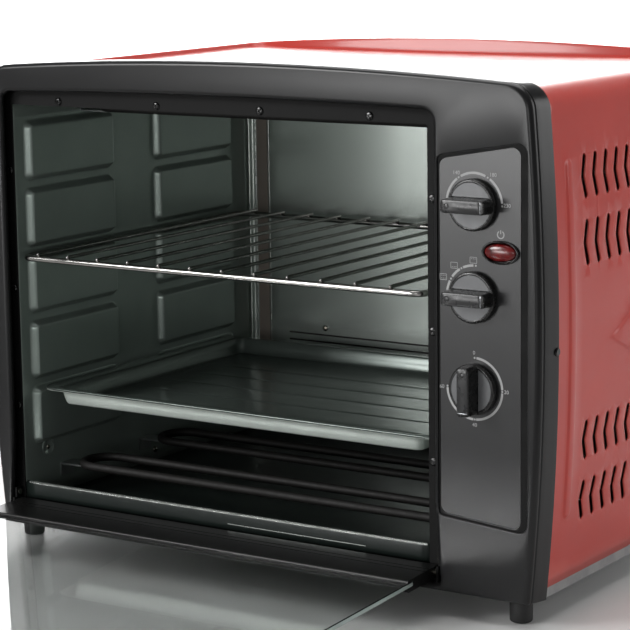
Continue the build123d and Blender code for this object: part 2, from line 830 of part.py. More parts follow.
# Back panel with its air slots and the hole for the lead's bushing
back_cut = housing_inset + housing_sheet + fit_gap
back_low = foot_height + fit_gap
with BuildPart() as back_panel:
    extrude(
        body_face(facing(base_rear), back_cut, back_cut, back_low, housing_corner - housing_sheet - fit_gap),
        amount=-housing_sheet,
    )
    with BuildSketch(facing(base_rear)):
        for height in back_slot_heights:
            with Locations((0, height)):
                with GridLocations(back_slot_pitch, 1, back_slot_count, 1):
                    SlotOverall(back_slot_length, louvre_width, rotation=90)
        with Locations((gland_x, gland_height)):
            Circle(gland_neck)
        with Locations((0, back_screw_height)):
            with GridLocations(back_screw_pitch, 1, 3, 1):
                Circle(screw_radius)
    extrude(amount=-housing_sheet, mode=Mode.SUBTRACT)
keep(back_panel, "back_panel")

# Screws that hold the back panel to the base
with BuildPart() as back_screws:
    for radius, reach in [(screw_head, -screw_head_height), (screw_radius, back_screw_length)]:
        with BuildSketch(facing(base_rear + housing_sheet)):
            with Locations((0, back_screw_height)):
                with GridLocations(back_screw_pitch, 1, 3, 1):
                    Circle(radius)
        extrude(amount=reach)
keep(back_screws, "back_screws")

# Bushing where the supply lead enters
with BuildPart() as lead_bushing:
    with BuildSketch(facing(base_rear + housing_sheet)):
        with Locations((gland_x, gland_height)):
            Circle(gland_radius)
    extrude(amount=-gland_lip)
    chamfer(lead_bushing.faces().sort_by(Axis.Y)[-1].edges(), gland_lip / 2)
    with BuildSketch(facing(base_rear + housing_sheet)):
        with Locations((gland_x, gland_height)):
            Circle(gland_neck)
    extrude(amount=gland_length - gland_lip)
    with BuildSketch(facing(base_rear + housing_sheet + gland_lip)):
        with Locations((gland_x, gland_height)):
            Circle(gland_bore)
    extrude(amount=gland_length, mode=Mode.SUBTRACT)
keep(lead_bushing, "lead_bushing")


# Feet: short round feet with a narrow neck
def foot(x, setback):
    """One foot, standing on the table and seated under the body."""
    with BuildPart() as one:
        with BuildSketch(Plane.XY):
            with Locations((x, front_y + setback)):
                Circle(foot_radius)
        extrude(amount=foot_height - foot_neck_rise)
        chamfer(one.faces().sort_by(Axis.Z)[-1].edges(), foot_chamfer)
        with BuildSketch(Plane.XY.offset(foot_height - foot_neck_rise)):
            with Locations((x, front_y + setback)):
                Circle(foot_radius - foot_chamfer)
        extrude(amount=foot_neck_rise)
    return one


foot_setbacks = {"front": foot_setback, "rear": body_depth - rear_foot_inset}
for end, setback in foot_setbacks.items():
    keep(foot(-foot_spread, setback), f"{end}_left_foot")
    keep(foot(foot_spread, setback), f"{end}_right_foot")

# Door, built open about its hinge line: along points from the hinge to the free edge
hinge_line = (door_mid, front_y + hinge_setback, hinge_height)
along = (0, -math.cos(droop), -math.sin(droop))
door_section = Plane(origin=hinge_line, x_dir=along, z_dir=(-1, 0, 0))
door_plane = Plane(origin=hinge_line, x_dir=along, z_dir=(0, -math.sin(droop), math.cos(droop)))
rail_end = lower_rail_width - door_heel
groove_start = rail_end - glass_seat
top_rail_start = door_length - upper_rail_width
groove_end = top_rail_start + glass_seat
half_door = door_width / 2

# Lower rail: holds the glass in a groove and turns on the hinge pins
with BuildPart() as door_lower_rail:
    with BuildSketch(door_section) as rail_profile:
        with Locations(((rail_end - door_heel) / 2, 0)):
            Rectangle(lower_rail_width, door_thickness)
        fillet(rail_profile.vertices().group_by(Axis.X)[0], rail_heel_radius)
        fillet(rail_profile.vertices().group_by(Axis.X)[-1], rail_nose_radius)
        with Locations(((groove_start + rail_end) / 2, 0)):
            Rectangle(glass_seat, glass_thickness, mode=Mode.SUBTRACT)
        with Locations(*[(place, half_thickness) for place in rail_grooves]):
            Rectangle(rail_groove_width, 2 * rail_groove_depth, mode=Mode.SUBTRACT)
    extrude(amount=half_door, both=True)
    for end in (-half_door, half_door - pin_grip - fit_gap):
        with BuildSketch(door_section.offset(end)):
            Circle(pin_radius + running_clearance)
        extrude(amount=pin_grip + fit_gap, mode=Mode.SUBTRACT)
keep(door_lower_rail, "door_lower_rail")

# Door glass
with BuildPart() as door_glass:
    with BuildSketch(door_section):
        with Locations(((groove_start + groove_end) / 2, 0)):
            Rectangle(groove_end - groove_start, glass_thickness)
    extrude(amount=half_door - glass_inset, both=True)
keep(door_glass, "door_glass")

# Upper rail with the slim pull lip along its outer edge
with BuildPart() as door_upper_rail:
    with BuildSketch(door_section) as upper_profile:
        with BuildLine():
            nose = Polyline(
                (top_rail_start, half_thickness),
                (door_length, half_thickness),
                (door_length, -half_thickness - lip_proud),
                (door_length - lip_edge, -half_thickness - lip_proud),
            )
            scoop = ThreePointArc(
                nose @ 1,
                (door_length - lip_edge - lip_proud / 3, -half_thickness - lip_proud / 3),
                (door_length - lip_edge - lip_proud, -half_thickness),
            )
            Polyline(scoop @ 1, (top_rail_start, -half_thickness), (top_rail_start, half_thickness))
        make_face()
        with Locations(((top_rail_start + groove_end) / 2, 0)):
            Rectangle(glass_seat, glass_thickness, mode=Mode.SUBTRACT)
    extrude(amount=half_door, both=True)
    fillet(door_upper_rail.edges().filter_by(Axis.X).group_by(Axis.Y)[0], lip_edge_radius)
    with BuildSketch(door_plane) as rail_plan:
        with Locations((door_length - upper_rail_width, 0)):
            Rectangle(2 * upper_rail_width, door_width)
        fillet(rail_plan.vertices().group_by(Axis.X)[-1], door_corner)
    extrude(amount=door_length, both=True, mode=Mode.INTERSECT)
keep(door_upper_rail, "door_upper_rail")

# Hinge ears on the front frame and the pins that the door turns on
ear_inner = (opening_right - opening_left) / 2 + ear_gap
with BuildPart() as hinge_ears:
    for side in (1, -1):
        with BuildSketch(Plane.YZ.offset(door_mid + side * ear_inner)):
            with BuildLine():
                Polyline(
                    (front_y + ear_gap, ear_low),
                    (front_y + jamb_depth, ear_low),
                    (front_y + jamb_depth, ear_high),
                    (front_y + fascia_face + fit_gap, ear_high),
                    (front_y + fascia_face + fit_gap, ear_step),
                    (front_y + ear_gap, ear_step),
                    close=True,
                )
            make_face()
            with Locations(hinge_line[1:]):
                Circle(pin_radius, mode=Mode.SUBTRACT)
            with Locations((front_y + rivet_setback, rivet_height)):
                Circle(screw_radius, mode=Mode.SUBTRACT)
        extrude(amount=side * ear_thickness)
keep(hinge_ears, "hinge_ears")

with BuildPart() as hinge_pins:
    for side in (1, -1):
        with BuildSketch(Plane.YZ.offset(door_mid + side * (half_door - pin_grip))):
            with Locations(hinge_line[1:]):
                Circle(pin_radius)
        extrude(amount=side * (pin_grip + door_gap + ear_gap + ear_thickness))
keep(hinge_pins, "hinge_pins")

with BuildPart() as hinge_rivets:
    for side in (1, -1):
        for start, radius, reach in [
            (ear_inner, screw_radius, ear_thickness),
            (ear_inner, rivet_head, -ear_gap),
            (ear_inner + ear_thickness, rivet_head, ear_gap),
        ]:
            with BuildSketch(Plane.YZ.offset(door_mid + side * start)):
                with Locations((front_y + rivet_setback, rivet_height)):
                    Circle(radius)
            extrude(amount=side * reach)
keep(hinge_rivets, "hinge_rivets")

# Bracket behind the fascia that carries the three controls
bracket_middle = ((bracket_left + bracket_right) / 2, (bracket_low + bracket_high) / 2)
with BuildPart() as control_bracket:
    with BuildSketch(facing(fascia_face)):
        with Locations(bracket_middle):
            Rectangle(bracket_right - bracket_left, bracket_high - bracket_low)
    extrude(amount=-(bracket_setback - fascia_face))
    offset(
        amount=-bracket_sheet,
        openings=control_bracket.faces().filter_by(Axis.Z) + control_bracket.faces().sort_by(Axis.Y)[:1],
    )
    with BuildSketch(facing(0)):
        with Locations(*[(control_x, height) for height in control_heights.values()]):
            Circle(neck_radius)
        with Locations((lamp_x, lamp_height)):
            Ellipse(lamp_width / 2 - lamp_rim, lamp_rise / 2 - lamp_rim)
    extrude(amount=-bracket_setback, mode=Mode.SUBTRACT)
keep(control_bracket, "control_bracket")


def control_switch(size, height, blades):
    """A rotary control: moulded body, threaded neck, shaft hole and rear blades."""
    width, rise, depth = size
    with BuildPart() as control:
        with BuildSketch(facing(bracket_setback)):
            with Locations((control_x, height)):
                RectangleRounded(width, rise, body_corner_small)
        extrude(amount=-depth)
        chamfer(control.faces().sort_by(Axis.Y)[-1].edges(), body_corner_small / 2)
        with BuildSketch(facing(bracket_setback)):
            with Locations((control_x, height)):
                Circle(neck_radius)
        extrude(amount=bracket_setback - fascia_face - fit_gap)
        with BuildSketch(facing(bracket_setback + depth)):
            with Locations((control_x, height)):
                with GridLocations(blade_pitch, 1, blades, 1):
                    Rectangle(blade_thickness, blade_width)
        extrude(amount=-blade_length)
        with BuildSketch(facing(0)):
            with Locations((control_x, height)):
                Circle(shaft_radius + running_clearance)
        extrude(amount=-(shaft_setback + fit_gap), mode=Mode.SUBTRACT)
    return control


shaft_setback = bracket_setback + shaft_engagement
knob_seat = plate_recess - plate_thickness - fit_gap
for (name, size), height, blades in zip(control_sizes.items(), control_heights.values(), blade_counts):
    keep(control_switch(size, height, blades), name)


def knob_plane(name):
    """The plane of a knob's back, with its X along the pointer and its normal to the front."""
    turn = math.radians(pointer_angle[name])
    return Plane(
        origin=(control_x, front_y + knob_seat, control_heights[name]),
        x_dir=(math.cos(turn), 0, math.sin(turn)),
        z_dir=(0, -1, 0),
    )


def knob(name):
    """A control knob: round skirt, sunk face and a grip bar that ends in a pointer."""
    back = knob_plane(name)
    with BuildPart() as turned:
        with BuildSketch(back):
            Circle(knob_radius)
        extrude(amount=knob_skirt)
        chamfer(turned.faces().sort_by(Axis.Y)[0].edges(), knob_edge)
        with BuildSketch(back.offset(knob_skirt - face_recess)):
            Circle(face_radius)
        extrude(amount=face_recess, mode=Mode.SUBTRACT)
        with BuildSketch(back):
            RectangleRounded(grip_length, grip_width, grip_corner)
        extrude(amount=knob_height, taper=grip_draft)
        chamfer(turned.faces().sort_by(Axis.Y)[0].edges(), knob_edge)
        with BuildSketch(back):
            Circle(shaft_radius + running_clearance)
        extrude(amount=shaft_grip, mode=Mode.SUBTRACT)
    return turned


def knob_face(name):
    """The two pale segments set into the knob's face beside the grip."""
    with BuildPart() as segments:
        with BuildSketch(knob_plane(name).offset(knob_skirt - face_recess)):
            Circle(face_radius)
            Rectangle(2 * knob_radius, grip_width + fit_gap, mode=Mode.SUBTRACT)
        extrude(amount=face_recess)
    return segments


def knob_shaft(name):
    """The shaft that joins a knob to its control."""
    with BuildPart() as shaft:
        with BuildSketch(knob_plane(name).offset(shaft_grip)):
            Circle(shaft_radius)
        extrude(amount=-(shaft_grip + shaft_setback - knob_seat))
    return shaft


for name in control_heights:
    keep(knob(name), f"{name}_knob")
    keep(knob_face(name), f"{name}_knob_face")
    keep(knob_shaft(name), f"{name}_shaft")

# Pilot lamp: oval bezel, red lens and the lamp body behind
bezel_face = facing(plate_recess - plate_thickness)
with BuildPart() as lamp_bezel:
    with BuildSketch(bezel_face):
        with Locations((lamp_x, lamp_height)):
            Ellipse(lamp_width / 2, lamp_rise / 2)
    extrude(amount=bezel_lip)
    chamfer(lamp_bezel.faces().sort_by(Axis.Y)[0].edges(), bezel_lip / 2)
    with BuildSketch(bezel_face):
        with Locations((lamp_x, lamp_height)):
            Ellipse(lamp_width / 2 - lamp_rim, lamp_rise / 2 - lamp_rim)
    extrude(amount=-(bezel_depth - plate_recess + plate_thickness))
    with BuildSketch(facing(bezel_depth)):
        with Locations((lamp_x, lamp_height)):
            Ellipse(lamp_width / 2 - bezel_wall, lamp_rise / 2 - bezel_wall)
    extrude(amount=2 * bezel_depth, mode=Mode.SUBTRACT)
keep(lamp_bezel, "lamp_bezel")

with BuildPart() as lamp_lens:
    with BuildSketch(bezel_face):
        with Locations((lamp_x, lamp_height)):
            Ellipse(lamp_width / 2 - bezel_wall, lamp_rise / 2 - bezel_wall)
    extrude(amount=bezel_lip + lens_proud)
    chamfer(lamp_lens.faces().sort_by(Axis.Y)[0].edges(), lens_proud)
keep(lamp_lens, "lamp_lens")

with BuildPart() as lamp_body:
    with BuildSketch(facing(bezel_depth)):
        with Locations((lamp_x, lamp_height)):
            RectangleRounded(lamp_width - 2 * bezel_wall, lamp_rise - 2 * bezel_wall, lamp_rim)
    extrude(amount=-lamp_body_depth)
    with BuildSketch(facing(bezel_depth + lamp_body_depth)):
        with Locations((lamp_x, lamp_height)):
            with GridLocations(blade_pitch, 1, 2, 1):
                Rectangle(blade_thickness, blade_width)
    extrude(amount=-blade_length)
keep(lamp_body, "lamp_body")
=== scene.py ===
import logging
import math
from dataclasses import dataclass
from enum import Enum
from functools import lru_cache
from typing import Optional, Sequence

import bmesh
import bpy
import numpy as np
from mathutils import Matrix, Vector
from mathutils.geometry import delaunay_2d_cdt


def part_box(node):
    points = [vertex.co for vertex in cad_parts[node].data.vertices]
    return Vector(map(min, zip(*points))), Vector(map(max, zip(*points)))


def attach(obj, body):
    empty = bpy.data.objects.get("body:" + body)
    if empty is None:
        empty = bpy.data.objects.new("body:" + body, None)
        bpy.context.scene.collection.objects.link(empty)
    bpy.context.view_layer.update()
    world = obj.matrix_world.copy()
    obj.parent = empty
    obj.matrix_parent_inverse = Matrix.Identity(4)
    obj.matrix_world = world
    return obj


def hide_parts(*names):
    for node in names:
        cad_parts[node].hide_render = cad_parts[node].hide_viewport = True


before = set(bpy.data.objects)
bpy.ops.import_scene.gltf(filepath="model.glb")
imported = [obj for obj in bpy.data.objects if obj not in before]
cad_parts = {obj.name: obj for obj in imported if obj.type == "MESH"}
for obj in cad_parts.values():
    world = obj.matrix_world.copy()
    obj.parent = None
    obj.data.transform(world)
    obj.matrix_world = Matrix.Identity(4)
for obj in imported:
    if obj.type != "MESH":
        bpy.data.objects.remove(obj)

# Tabletop electric oven with its glass door open: the looks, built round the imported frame.
# Sizes are in millimetres in the frame's own axes (+X right, +Y to the rear, +Z up) until a mesh is made.

Array = np.ndarray
Colour = tuple[int, int, int]
Point = tuple[float, float, float]

MM = 0.001
UP: Point = (0.0, 0.0, 1.0)
FULL_TURN = 2.0 * math.pi
MERGE_DISTANCE = 0.004 * MM
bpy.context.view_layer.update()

NOISE_BAND = (0.3, 0.7)
SPECK_SIZE = 0.9
SPECK_BAND = (0.62, 0.72, 0.0, 0.1)
# Pointiness range that lightens sharp convex edges: partly edge wear, partly painted highlight.
EDGE_WEAR_AND_HIGHLIGHT_BAND = (0.52, 0.60, 0.0, 0.7)
BRUSH_STRETCH = 0.02

CONTROL_X = 199.0
CONTROL_HEIGHTS = {"temperature": 302.3, "function": 236.9, "timer": 170.9}
LAMP_PLACE = (220.3, 269.8)

log = logging.getLogger("oven")


class Grain(Enum):
    """What the surface of a finish does between its large forms."""

    SMOOTH = "smooth"
    PEEL = "orange peel of sprayed paint"
    FINE = "fine moulded texture"
    ENAMEL = "fired enamel with faint specks"
    BRUSHED = "drawn or brushed metal"


def linear(colour: Colour) -> tuple[float, float, float, float]:
    """Turns a written colour into the shader's scene-linear value.

    Args:
        colour: Red, green and blue from 0 to 255.

    Returns:
        The linear colour with full opacity.
    """
    share = np.array(colour, float) / 255.0
    value = np.where(share <= 0.04045, share / 12.92, ((share + 0.055) / 1.055) ** 2.4)
    return (float(value[0]), float(value[1]), float(value[2]), 1.0)


@dataclass(frozen=True)
class Finish:
    """One finish of the oven and the node material that it becomes."""

    name: str
    colour: Colour
    second: Colour
    roughness: float
    grain: Grain = Grain.FINE
    grain_size: float = 0.8
    grain_height: float = 0.02
    patch_size: float = 60.0
    roughness_swing: float = 0.06
    metallic: float = 0.0
    coat: float = 0.0
    coat_roughness: float = 0.1
    # Lighter colour on sharp convex edges: partly edge wear, partly painted highlight.
    edge: Optional[Colour] = None
    see_through: float = 0.0
    ior: float = 1.5

    def material(self) -> bpy.types.Material:
        """Returns the finish's material, made once."""
        return finish_material(self)


class NodeSheet:
    """A small helper that lays shader nodes and wires them."""

    def __init__(self, material: bpy.types.Material) -> None:
        """Empties the material's node tree and keeps it."""
        material.use_nodes = True
        self.tree = material.node_tree
        self.tree.nodes.clear()

    def add(self, kind: str, **sockets: object) -> bpy.types.Node:
        """Adds a node and sets its sockets.

        Args:
            kind: The shader node's type name.
            sockets: Values by socket name, with underscores for spaces.

        Returns:
            The new node.
        """
        node = self.tree.nodes.new(kind)
        for name, value in sockets.items():
            node.inputs[name.replace("_", " ")].default_value = value
        return node

    def wire(self, source: bpy.types.NodeSocket, target: bpy.types.NodeSocket) -> None:
        """Joins two sockets."""
        self.tree.links.new(source, target)

    def mix(self, factor: bpy.types.NodeSocket, low: object, high: object) -> bpy.types.NodeSocket:
        """Mixes two colours, each a socket or a linear colour.

        Args:
            factor: The socket that drives the mix.
            low: Colour at factor 0.
            high: Colour at factor 1.

        Returns:
            The mixed colour's socket.
        """
        node = self.tree.nodes.new("ShaderNodeMix")
        node.data_type = "RGBA"
        self.wire(factor, node.inputs["Factor"])
        colour_in = [socket for socket in node.inputs if socket.type == "RGBA"]
        colour_out = [socket for socket in node.outputs if socket.type == "RGBA"][0]
        for socket, value in zip(colour_in, (low, high)):
            if isinstance(value, bpy.types.NodeSocket):
                self.wire(value, socket)
            else:
                socket.default_value = value
        return colour_out

    def noise(self, place: bpy.types.NodeSocket, size: float, detail: float) -> bpy.types.NodeSocket:
        """Lays a noise texture.

        Args:
            place: The coordinates' socket.
            size: Size of its features, in millimetres.
            detail: Its octaves.

        Returns:
            The texture's value.
        """
        node = self.add("ShaderNodeTexNoise", Scale=1.0 / (size * MM), Detail=detail)
        self.wire(place, node.inputs["Vector"])
        return node.outputs["Fac"]

    def ranged(
        self, source: bpy.types.NodeSocket, span: tuple[float, float, float, float]
    ) -> bpy.types.NodeSocket:
        """Maps a value from one range to another and clamps it.

        Args:
            source: The value's socket.
            span: Lowest and highest value in, then lowest and highest out.

        Returns:
            The mapped value's socket.
        """
        low_in, high_in, low_out, high_out = span
        node = self.add(
            "ShaderNodeMapRange", From_Min=low_in, From_Max=high_in, To_Min=low_out, To_Max=high_out
        )
        self.wire(source, node.inputs["Value"])
        return node.outputs["Result"]


@lru_cache(maxsize=None)
def finish_material(finish: Finish) -> bpy.types.Material:
    """Builds the node material of a finish: patches of tone, grain bump, uneven gloss, and lighter sharp
    edges that are partly edge wear and partly painted highlight.

    Args:
        finish: The finish to build.

    Returns:
        The material.
    """
    material = bpy.data.materials.new(finish.name)
    sheet = NodeSheet(material)
    place = sheet.add("ShaderNodeTexCoord").outputs["Object"]
    shader = sheet.add(
        "ShaderNodeBsdfPrincipled", Metallic=finish.metallic, IOR=finish.ior, Roughness=finish.roughness,
        Coat_Weight=finish.coat, Coat_Roughness=finish.coat_roughness, Transmission_Weight=finish.see_through,
    )
    tone = sheet.ranged(sheet.noise(place, finish.patch_size, 3.0), (*NOISE_BAND, 0.0, 1.0))
    colour = sheet.mix(tone, linear(finish.colour), linear(finish.second))
    if finish.grain is Grain.ENAMEL:
        bright = tuple(min(1.0, value * 1.9 + 0.004) for value in linear(finish.colour)[:3]) + (1.0,)
        colour = sheet.mix(sheet.ranged(sheet.noise(place, SPECK_SIZE, 2.0), SPECK_BAND), colour, bright)
    # Sharp convex edges turn lighter: partly edge wear, partly painted highlight.
    if finish.edge is not None:
        ridge = sheet.add("ShaderNodeNewGeometry").outputs["Pointiness"]
        colour = sheet.mix(sheet.ranged(ridge, EDGE_WEAR_AND_HIGHLIGHT_BAND), colour, linear(finish.edge))
    sheet.wire(colour, shader.inputs["Base Color"])
    grain_place = place
    if finish.grain is Grain.BRUSHED:
        stretch = sheet.add("ShaderNodeMapping", Scale=(BRUSH_STRETCH, 1.0, 1.0))
        sheet.wire(place, stretch.inputs["Vector"])
        grain_place = stretch.outputs["Vector"]
    if finish.grain is not Grain.SMOOTH:
        bump = sheet.add("ShaderNodeBump", Strength=1.0, Distance=finish.grain_height * MM)
        sheet.wire(sheet.noise(grain_place, finish.grain_size, 2.0), bump.inputs["Height"])
        sheet.wire(bump.outputs["Normal"], shader.inputs["Normal"])
    if finish.roughness_swing:
        low, high = (max(0.0, finish.roughness + side * finish.roughness_swing) for side in (-1.0, 1.0))
        gloss = sheet.noise(place, finish.patch_size / 3.0, 4.0)
        sheet.wire(sheet.ranged(gloss, (*NOISE_BAND, low, high)), shader.inputs["Roughness"])
    sheet.wire(shader.outputs["BSDF"], sheet.add("ShaderNodeOutputMaterial").inputs["Surface"])
    return material


# The edge colours below lighten sharp convex edges: partly edge wear, partly painted highlight.
HOUSING_RED = Finish(
    "housing_red_paint", (176, 52, 42), (168, 48, 39), 0.38, Grain.PEEL, 2.2, 0.008, 90.0,
    roughness_swing=0.03, coat=0.42, coat_roughness=0.14, edge=(190, 84, 74), ior=1.32,
)
FASCIA_BLACK = Finish(
    "fascia_satin_black", (19, 19, 20), (17, 17, 18), 0.29, Grain.FINE, 0.5, 0.003, 70.0,
    roughness_swing=0.008, edge=(50, 50, 50), ior=1.4,
)
PLATE_BLACK = Finish(
    "control_plate_grey_black", (34, 34, 35), (32, 32, 33), 0.29, Grain.FINE, 0.45, 0.003, 50.0,
    roughness_swing=0.008,
)
FRAME_BLACK = Finish(
    "front_frame_black", (9, 9, 9), (8, 8, 8), 0.58, Grain.FINE, 0.8, 0.003, 40.0,
    roughness_swing=0.012, ior=1.25,
)
CAVITY_ENAMEL = Finish(
    "cavity_green_grey_enamel", (138, 149, 143), (132, 143, 137), 0.30, Grain.ENAMEL, 2.6, 0.003, 45.0,
    roughness_swing=0.02, metallic=0.5, coat=0.3, coat_roughness=0.2, edge=(168, 176, 170),
)
# A lighter, more metallic copy of the cavity enamel for the rear wall: painted light.
REAR_ENAMEL_PAINTED_LIGHT = Finish(
    "cavity_rear_enamel_painted_light", (178, 185, 180), (175, 182, 177), 0.27, Grain.SMOOTH, patch_size=220.0,
    roughness_swing=0.0, metallic=0.8, coat=0.25, coat_roughness=0.2,
)
# A darker copy of the tray's grey enamel for its inner face: painted shade.
TRAY_INSIDE_PAINTED_SHADE = Finish(
    "tray_inside_enamel_painted_shade", (90, 98, 94), (86, 94, 90), 0.24, Grain.SMOOTH, patch_size=40.0,
    roughness_swing=0.012, metallic=0.5, coat=0.1,
)
TRAY_OUTSIDE = Finish(
    "tray_grey_enamel", (188, 196, 190), (181, 189, 183), 0.32, Grain.ENAMEL, 2.6, 0.003, 35.0,
    roughness_swing=0.015, metallic=0.3,
)
CHROME = Finish(
    "rack_chrome", (164, 162, 159), (150, 149, 146), 0.16, Grain.BRUSHED, 0.6, 0.004, 20.0, metallic=1.0,
)
# Bright steel for thin bands and beads that paint highlights: on the sill's roll and along the rear wall's
# folds.
PAINTED_HIGHLIGHT_STEEL = Finish(
    "sill_painted_highlight", (206, 210, 206), (194, 198, 194), 0.24, Grain.BRUSHED, 0.6, 0.004, 30.0, metallic=0.9,
)
GALVANISED = Finish(
    "galvanised_sheet", (160, 162, 162), (140, 143, 144), 0.38, Grain.BRUSHED, 0.9, 0.01, 14.0, metallic=0.9,
)
ELEMENT_SHEATH = Finish(
    "heating_element_sheath", (15, 13, 12), (12, 11, 10), 0.62, Grain.FINE, 0.5, 0.01, 16.0, ior=1.36,
)
CERAMIC = Finish("bush_ceramic", (214, 208, 196), (204, 197, 184), 0.55, Grain.FINE, 0.5, 0.03, 8.0)
KNOB_BLACK = Finish(
    "knob_black", (13, 13, 13), (11, 11, 11), 0.28, Grain.FINE, 0.4, 0.008, 14.0, edge=(34, 34, 34),
)
KNOB_GREY = Finish("knob_grey_insert", (98, 99, 101), (92, 93, 95), 0.34, Grain.FINE, 0.35, 0.012, 12.0)
KNOB_INLAY = Finish("knob_inlay_satin", (36, 36, 37), (33, 33, 34), 0.30, Grain.FINE, 0.35, 0.006, 12.0)
# Bright metal for the ridge: a painted highlight on the inlay's rounded end.
KNOB_RIDGE_PAINTED_HIGHLIGHT = Finish(
    "knob_ridge_painted_highlight", (150, 152, 155), (140, 142, 145), 0.25, Grain.FINE, 0.35, 0.006, 12.0, metallic=0.6,
)
PRINT_WHITE = Finish("dial_print", (164, 164, 164), (156, 156, 156), 0.6, Grain.FINE, 0.3, 0.004, 6.0)
# Random patches of brighter and darker red on the lens: a painted glow, standing in for light caught inside
# the lens.
LENS_RED_PAINTED_GLOW = Finish(
    "lamp_lens_red_painted_glow", (112, 8, 9), (58, 3, 4), 0.24, Grain.SMOOTH, patch_size=7.0,
    coat=0.15, coat_roughness=0.12,
)
BEZEL_BLACK = Finish("lamp_bezel_black", (14, 14, 14), (12, 12, 12), 0.24, Grain.FINE, 0.4, 0.006, 12.0)
RAIL_BLACK = Finish(
    "door_rail_black", (9, 9, 9), (8, 8, 8), 0.30, Grain.FINE, 0.4, 0.002, 60.0,
    roughness_swing=0.012, edge=(16, 16, 16), ior=1.36,
)
DOOR_GLASS = Finish(
    "door_glass", (242, 244, 243), (240, 243, 242), 0.02, Grain.SMOOTH, patch_size=120.0,
    roughness_swing=0.01, see_through=1.0, ior=1.45,
)
GLASS_EDGE = Finish("glass_ground_edge", (150, 162, 157), (142, 154, 149), 0.5, Grain.FINE, 0.4, 0.01, 20.0)
# A darker copy of the cavity enamel for the floor pan and sill: painted shade.
FLOOR_ENAMEL_PAINTED_SHADE = Finish(
    "floor_enamel_painted_shade", (26, 32, 30), (23, 29, 27), 0.36, Grain.SMOOTH, patch_size=45.0,
    roughness_swing=0.012, ior=1.33,
)
# Dark matt black for the ring on the control field's ledge: painted shade where the step's shadow falls.
LEDGE_PAINTED_SHADE = Finish("ledge_painted_shade_black", (7, 7, 7), (6, 6, 6), 0.7, Grain.FINE, 0.5, 0.01, 30.0, ior=1.3)
STRIP_BROWN = Finish(
    "rear_strip_brown_grey", (138, 129, 121), (131, 122, 114), 0.5, Grain.FINE, 0.8, 0.002, 40.0,
    roughness_swing=0.012,
)
SILL_LINE = Finish(
    "sill_second_line", (150, 154, 150), (140, 144, 140), 0.3, Grain.BRUSHED, 0.6, 0.004, 30.0, metallic=0.8,
)
FOOT_RUBBER = Finish("foot_rubber", (24, 24, 24), (19, 19, 19), 0.62, Grain.FINE, 0.5, 0.04, 10.0)
SCREW_BLACK = Finish("black_screw", (7, 7, 7), (6, 6, 6), 0.16, Grain.FINE, 0.3, 0.003, 6.0)
SCREW_ZINC = Finish(
    "zinc_screw", (176, 172, 160), (160, 156, 146), 0.22, Grain.FINE, 0.3, 0.006, 6.0, metallic=1.0,
)
SWITCH_BODY = Finish("switch_moulding", (52, 50, 47), (45, 43, 41), 0.5, Grain.FINE, 0.5, 0.02, 20.0)


@dataclass
class Skin:
    """Points and faces of one surface, in millimetres."""

    points: Array
    faces: list[list[int]]

    def joined(self, *others: "Skin") -> "Skin":
        """Returns this skin and others as one."""
        points = [self.points]
        faces = list(self.faces)
        count = len(self.points)
        for other in others:
            points.append(other.points)
            faces.extend([[index + count for index in face] for face in other.faces])
            count += len(other.points)
        return Skin(np.vstack(points), faces)

    def turned(self, matrix: Matrix) -> "Skin":
        """Returns the skin moved by a 4 x 4 matrix."""
        grid = np.array(matrix)
        return Skin(self.points @ grid[:3, :3].T + grid[:3, 3], self.faces)

    def moved(self, *shift: float) -> "Skin":
        """Returns the skin moved by x, y and z."""
        return Skin(self.points + shift, self.faces)


def grid_skin(points: Array, close_first: bool = False, close_second: bool = False) -> Skin:
    """Joins a grid of points into quads.

    Args:
        points: Array of shape (first, second, 3).
        close_first: Whether the last row joins the first one.
        close_second: Whether the last column joins the first one.

    Returns:
        The surface.
    """
    first, second = points.shape[:2]
    index = np.arange(first * second).reshape(first, second)
    if close_first:
        index = np.vstack([index, index[:1]])
    if close_second:
        index = np.hstack([index, index[:, :1]])
    corners = (index[:-1, :-1], index[1:, :-1], index[1:, 1:], index[:-1, 1:])
    return Skin(points.reshape(-1, 3), np.stack(corners, -1).reshape(-1, 4).tolist())


def cap_skin(loop: Array) -> Skin:
    """Closes a loop of points with one flat face."""
    return Skin(loop, [list(range(len(loop)))])


def loft(loops: Sequence[Array]) -> Skin:
    """Joins closed loops of equal counts into one surface."""
    return grid_skin(np.stack(loops), close_second=True)


def solid_loft(loops: Sequence[Array]) -> Skin:
    """Joins closed loops of equal counts and caps both ends."""
    return loft(loops).joined(cap_skin(loops[0]), cap_skin(loops[-1]))


def level(loop: Array, height: float | Array) -> Array:
    """Lays a loop of (x, y) flat at a height, or at one height for each point."""
    return np.column_stack([loop, np.broadcast_to(height, len(loop))])


def inside(points: Array, loop: Array) -> Array:
    """Tells which points lie inside a loop, by counting the edges that a ray to the right crosses.

    Args:
        points: Array of shape (n, 2).
        loop: Closed loop of shape (m, 2), without a repeated last point.

    Returns:
        A boolean for each point.
    """
    start = loop
    end = np.roll(loop, -1, axis=0)
    x, y = points[:, :1], points[:, 1:2]
    spans = (start[:, 1] > y) != (end[:, 1] > y)
    rise = np.where(end[:, 1] == start[:, 1], 1.0, end[:, 1] - start[:, 1])
    cross = start[:, 0] + (y - start[:, 1]) * (end[:, 0] - start[:, 0]) / rise
    return (np.count_nonzero(spans & (x < cross), axis=1) % 2) == 1


